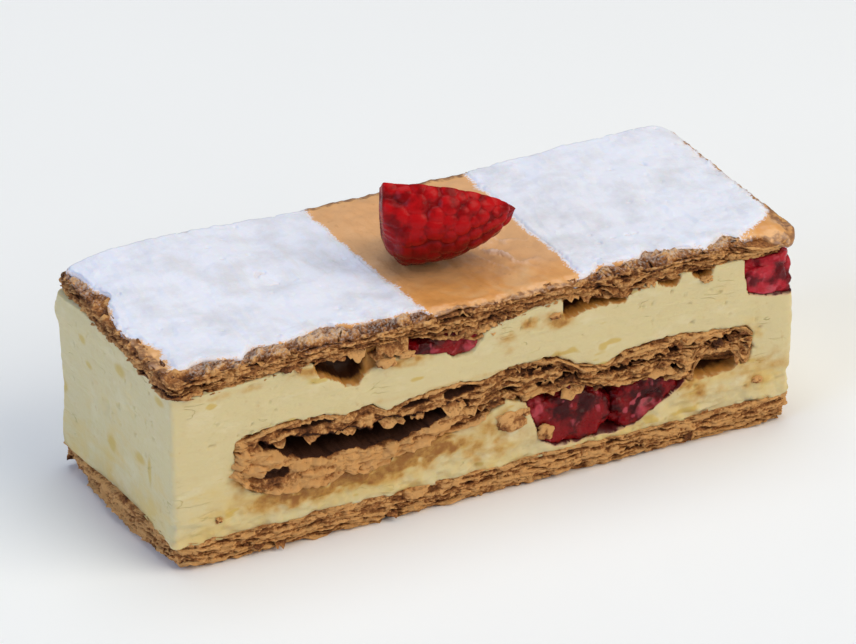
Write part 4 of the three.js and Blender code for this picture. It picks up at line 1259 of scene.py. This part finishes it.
def drupelet_rows(length, radius, drupelet, seed):
    """The drupelets' middles on a thimble along +Z, in staggered rows, and their radii."""
    chance = np.random.default_rng(seed)
    middles, radii = [], []
    way, row = 0.07, 0
    while way < 0.96:
        size = drupelet * (1 - 0.5 * way)
        count = max(3, round(2 * np.pi * thimble(way, np.pi) * radius / (1.75 * size)))
        angle = 2 * np.pi * (np.arange(count) + 0.5 * (row % 2) + chance.normal(0, 0.09, count)) / count
        here = np.clip(way + chance.normal(0, 0.014, count), 0, 0.98)
        r = thimble(here, angle) * radius
        middles.append(np.column_stack([r * np.cos(angle), -r * np.sin(angle), here * length]))
        radii.append(size * chance.uniform(0.82, 1.2, count))
        slope = (thimble(min(way + 0.03, 0.99), np.pi) - thimble(way, np.pi)) * radius / 0.03
        way += 1.5 * size / np.hypot(length, slope)
        row += 1
    return np.vstack(middles), np.concatenate(radii)


tip = np.array([np.cos(BERRY_AXIS), np.sin(BERRY_AXIS), 0])
back = np.array([-tip[1], tip[0], 0])
cut_up = np.cos(CUT_TILT) * back + np.sin(CUT_TILT) * np.array([0, 0, 1])
cut_side = np.cross(tip, cut_up)

way = np.sin(np.linspace(0, 1, BERRY_ROWS) * np.pi / 2)[:, None]
round_side = np.linspace(0, np.pi, 190)
inner = np.linspace(np.pi, 0, 46)
cut_face_share = np.linspace(0, 1, 16)[1:-1]
hollow_r = BERRY_RADIUS * (HOLLOW_MOUTH + (HOLLOW_END - HOLLOW_MOUTH) * way / HOLLOW_DEPTH)
hollow_r = hollow_r * np.sqrt(np.clip((HOLLOW_DEPTH - way) / 0.08, 0, 1))


def half_section(share, angle):
    """Points of the cut berry's section from the round side, share 1, to the hollow, share 0."""
    outer_r = thimble(way, angle) * BERRY_RADIUS
    hollow = np.minimum(hollow_r, 0.8 * outer_r)
    lip = 0.35 * (1 - ease(way, 0, 0.04))
    share = share * (1 - lip) + (1 - share) * lip
    radius = hollow + (outer_r - hollow) * share
    return np.stack([radius * np.cos(angle), -radius * np.sin(angle), way * BERRY_LENGTH + 0 * radius], -1)


points = np.concatenate([
    half_section(1, round_side), half_section(1 - cut_face_share, np.pi + 0 * cut_face_share),
    half_section(0, inner), half_section(cut_face_share, 0 * cut_face_share),
], 1)  # fmt: skip
outside = np.zeros(points.shape[:2])
outside[:, : len(round_side)] = 1
out = np.stack([points[..., 0], np.minimum(points[..., 1], 0), 9 * way**3 + 0 * outside], -1)
out = out / np.maximum(np.linalg.norm(out, axis=2), 1e-6)[..., None] * outside[..., None]
steps = points.shape[1]
points, out, outside = points.reshape(-1, 3), out.reshape(-1, 3), outside.ravel()
middles, radii = drupelet_rows(BERRY_LENGTH, BERRY_RADIUS, 2.2, 311)
turn = np.arctan2(-points[:, 1], points[:, 0])
points, dome = swollen(points, out, middles, radii, 0.34)
ridges = 0.28 * lumps(turn * 7 + 30, points[:, 2] / 9, 313, 2) * (1 - ease(points[:, 2], 2, 6))
points = points + out * (ridges + 0.2 * lumps(turn * 3 + 30, points[:, 2] / 4, 312, 2))[:, None]
# Painted shade in the creases between drupelets; the cut face and the hollow are pale flesh
crease, flesh = (1 - ease(dome, 0.12, 0.75)) * outside, 1 - outside
spread = points - [0, 0, BERRY_LENGTH / 2]
placed = spread[:, :1] * cut_side + spread[:, 1:2] * cut_up + spread[:, 2:] * tip
placed[:, :2] += BERRY_SEAT
placed[:, 2] += top_level(*BERRY_SEAT) + 0.1 - placed[:, 2].min()
rings = placed.reshape(1, BERRY_ROWS, steps, 3)
body = ringed_body(rings, np.zeros((1, 2, 3)))
base = list(range(steps))[::-1]
walls = [face for face in body[1] if len(face) == 4] + [base]
# Darker below 39 mm up: painted shade on the berry's underside
fresh_berry = berry_finish("fresh_raspberry", (0.12, 0.0010, 0.0016), (0.47, 0.005, 0.007), 0.26, 39.0)
half_berry = put_mesh(
    "half_raspberry", (body[0][:-2], walls), fresh_berry,
    {"crease": crease, "flesh": flesh}, merge=True,
)
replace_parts(half_berry, "raspberry_half")

# ---------------------------------------------------------------------------------------------------
# The studio: a pale floor, a broad soft light from the front right, and a long lens from the front left.

floor_mesh = bpy.data.meshes.new("floor")
FLOOR = 3.0  # half its side, in metres
floor_mesh.from_pydata(
    [(-FLOOR, -FLOOR, 0), (FLOOR, -FLOOR, 0), (FLOOR, FLOOR, 0), (-FLOOR, FLOOR, 0)], [], [(0, 1, 2, 3)]
)
paper = Finish("pale_floor")
paper.set(Base_Color=paper.ramp(paper.noise(120, 2), (0, (0.90,) * 3), (1, (0.94,) * 3)), Roughness=0.8)
floor_mesh.materials.append(paper.material)
in_scene("floor", floor_mesh)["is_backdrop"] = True

world = bpy.data.worlds.new("studio")
world.use_nodes = True
sky = world.node_tree.nodes["Background"].inputs
sky["Color"].default_value, sky["Strength"].default_value = (0.88, 0.94, 1.0, 1), 0.22
bpy.context.scene.world = world


def soft_light(name, place, size, power, colour):
    """A square area light at place, in metres, that looks at the slice."""
    data = bpy.data.lights.new(name, "AREA")
    data.size, data.energy, data.color = size, power, colour
    light = in_scene(name, data)
    light.location = place
    light.rotation_euler = (-light.location).to_track_quat("-Z", "Y").to_euler()


soft_light("key", (1.075, -1.466, 1.565), 2.0, 40.0, (1.0, 0.92, 0.76))
soft_light("top", (0.2, 0.5, 2.35), 2.0, 23.0, (0.95, 0.98, 1.0))
soft_light("left", (-2.1, -0.3, 1.1), 1.8, 24.0, (0.52, 0.68, 1.0))

CAMERA_TURN, CAMERA_RISE, CAMERA_ROLL = np.radians([-26.76, 27.23, -0.67])
CAMERA_TARGET = 20.2  # the height of its aim in the middle of the slice, in millimetres
CAMERA_AWAY = 1.0512  # how far it is from there, in metres
CAMERA_SHIFT = (-0.2 * MM, 3.2 * MM)  # how far it is moved to the right and up, in the view
camera_data = bpy.data.cameras.new("camera")
camera_data.lens, camera_data.sensor_width = 252.3, 36
camera_data.clip_start, camera_data.clip_end = 0.05, 20
camera = in_scene("camera", camera_data)
bpy.context.scene.camera = camera
camera.matrix_world = (
    Matrix.Translation((np.array([0, 0, CAMERA_TARGET]) + MIDDLE) * MM)
    @ Matrix.Rotation(CAMERA_TURN, 4, "Z")
    @ Matrix.Rotation(np.pi / 2 - CAMERA_RISE, 4, "X")
    @ Matrix.Rotation(CAMERA_ROLL, 4, "Z")
    @ Matrix.Translation((*CAMERA_SHIFT, CAMERA_AWAY))
)
bpy.context.scene.view_settings.view_transform = "Standard"

bpy.context.view_layer.update()
low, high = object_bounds()
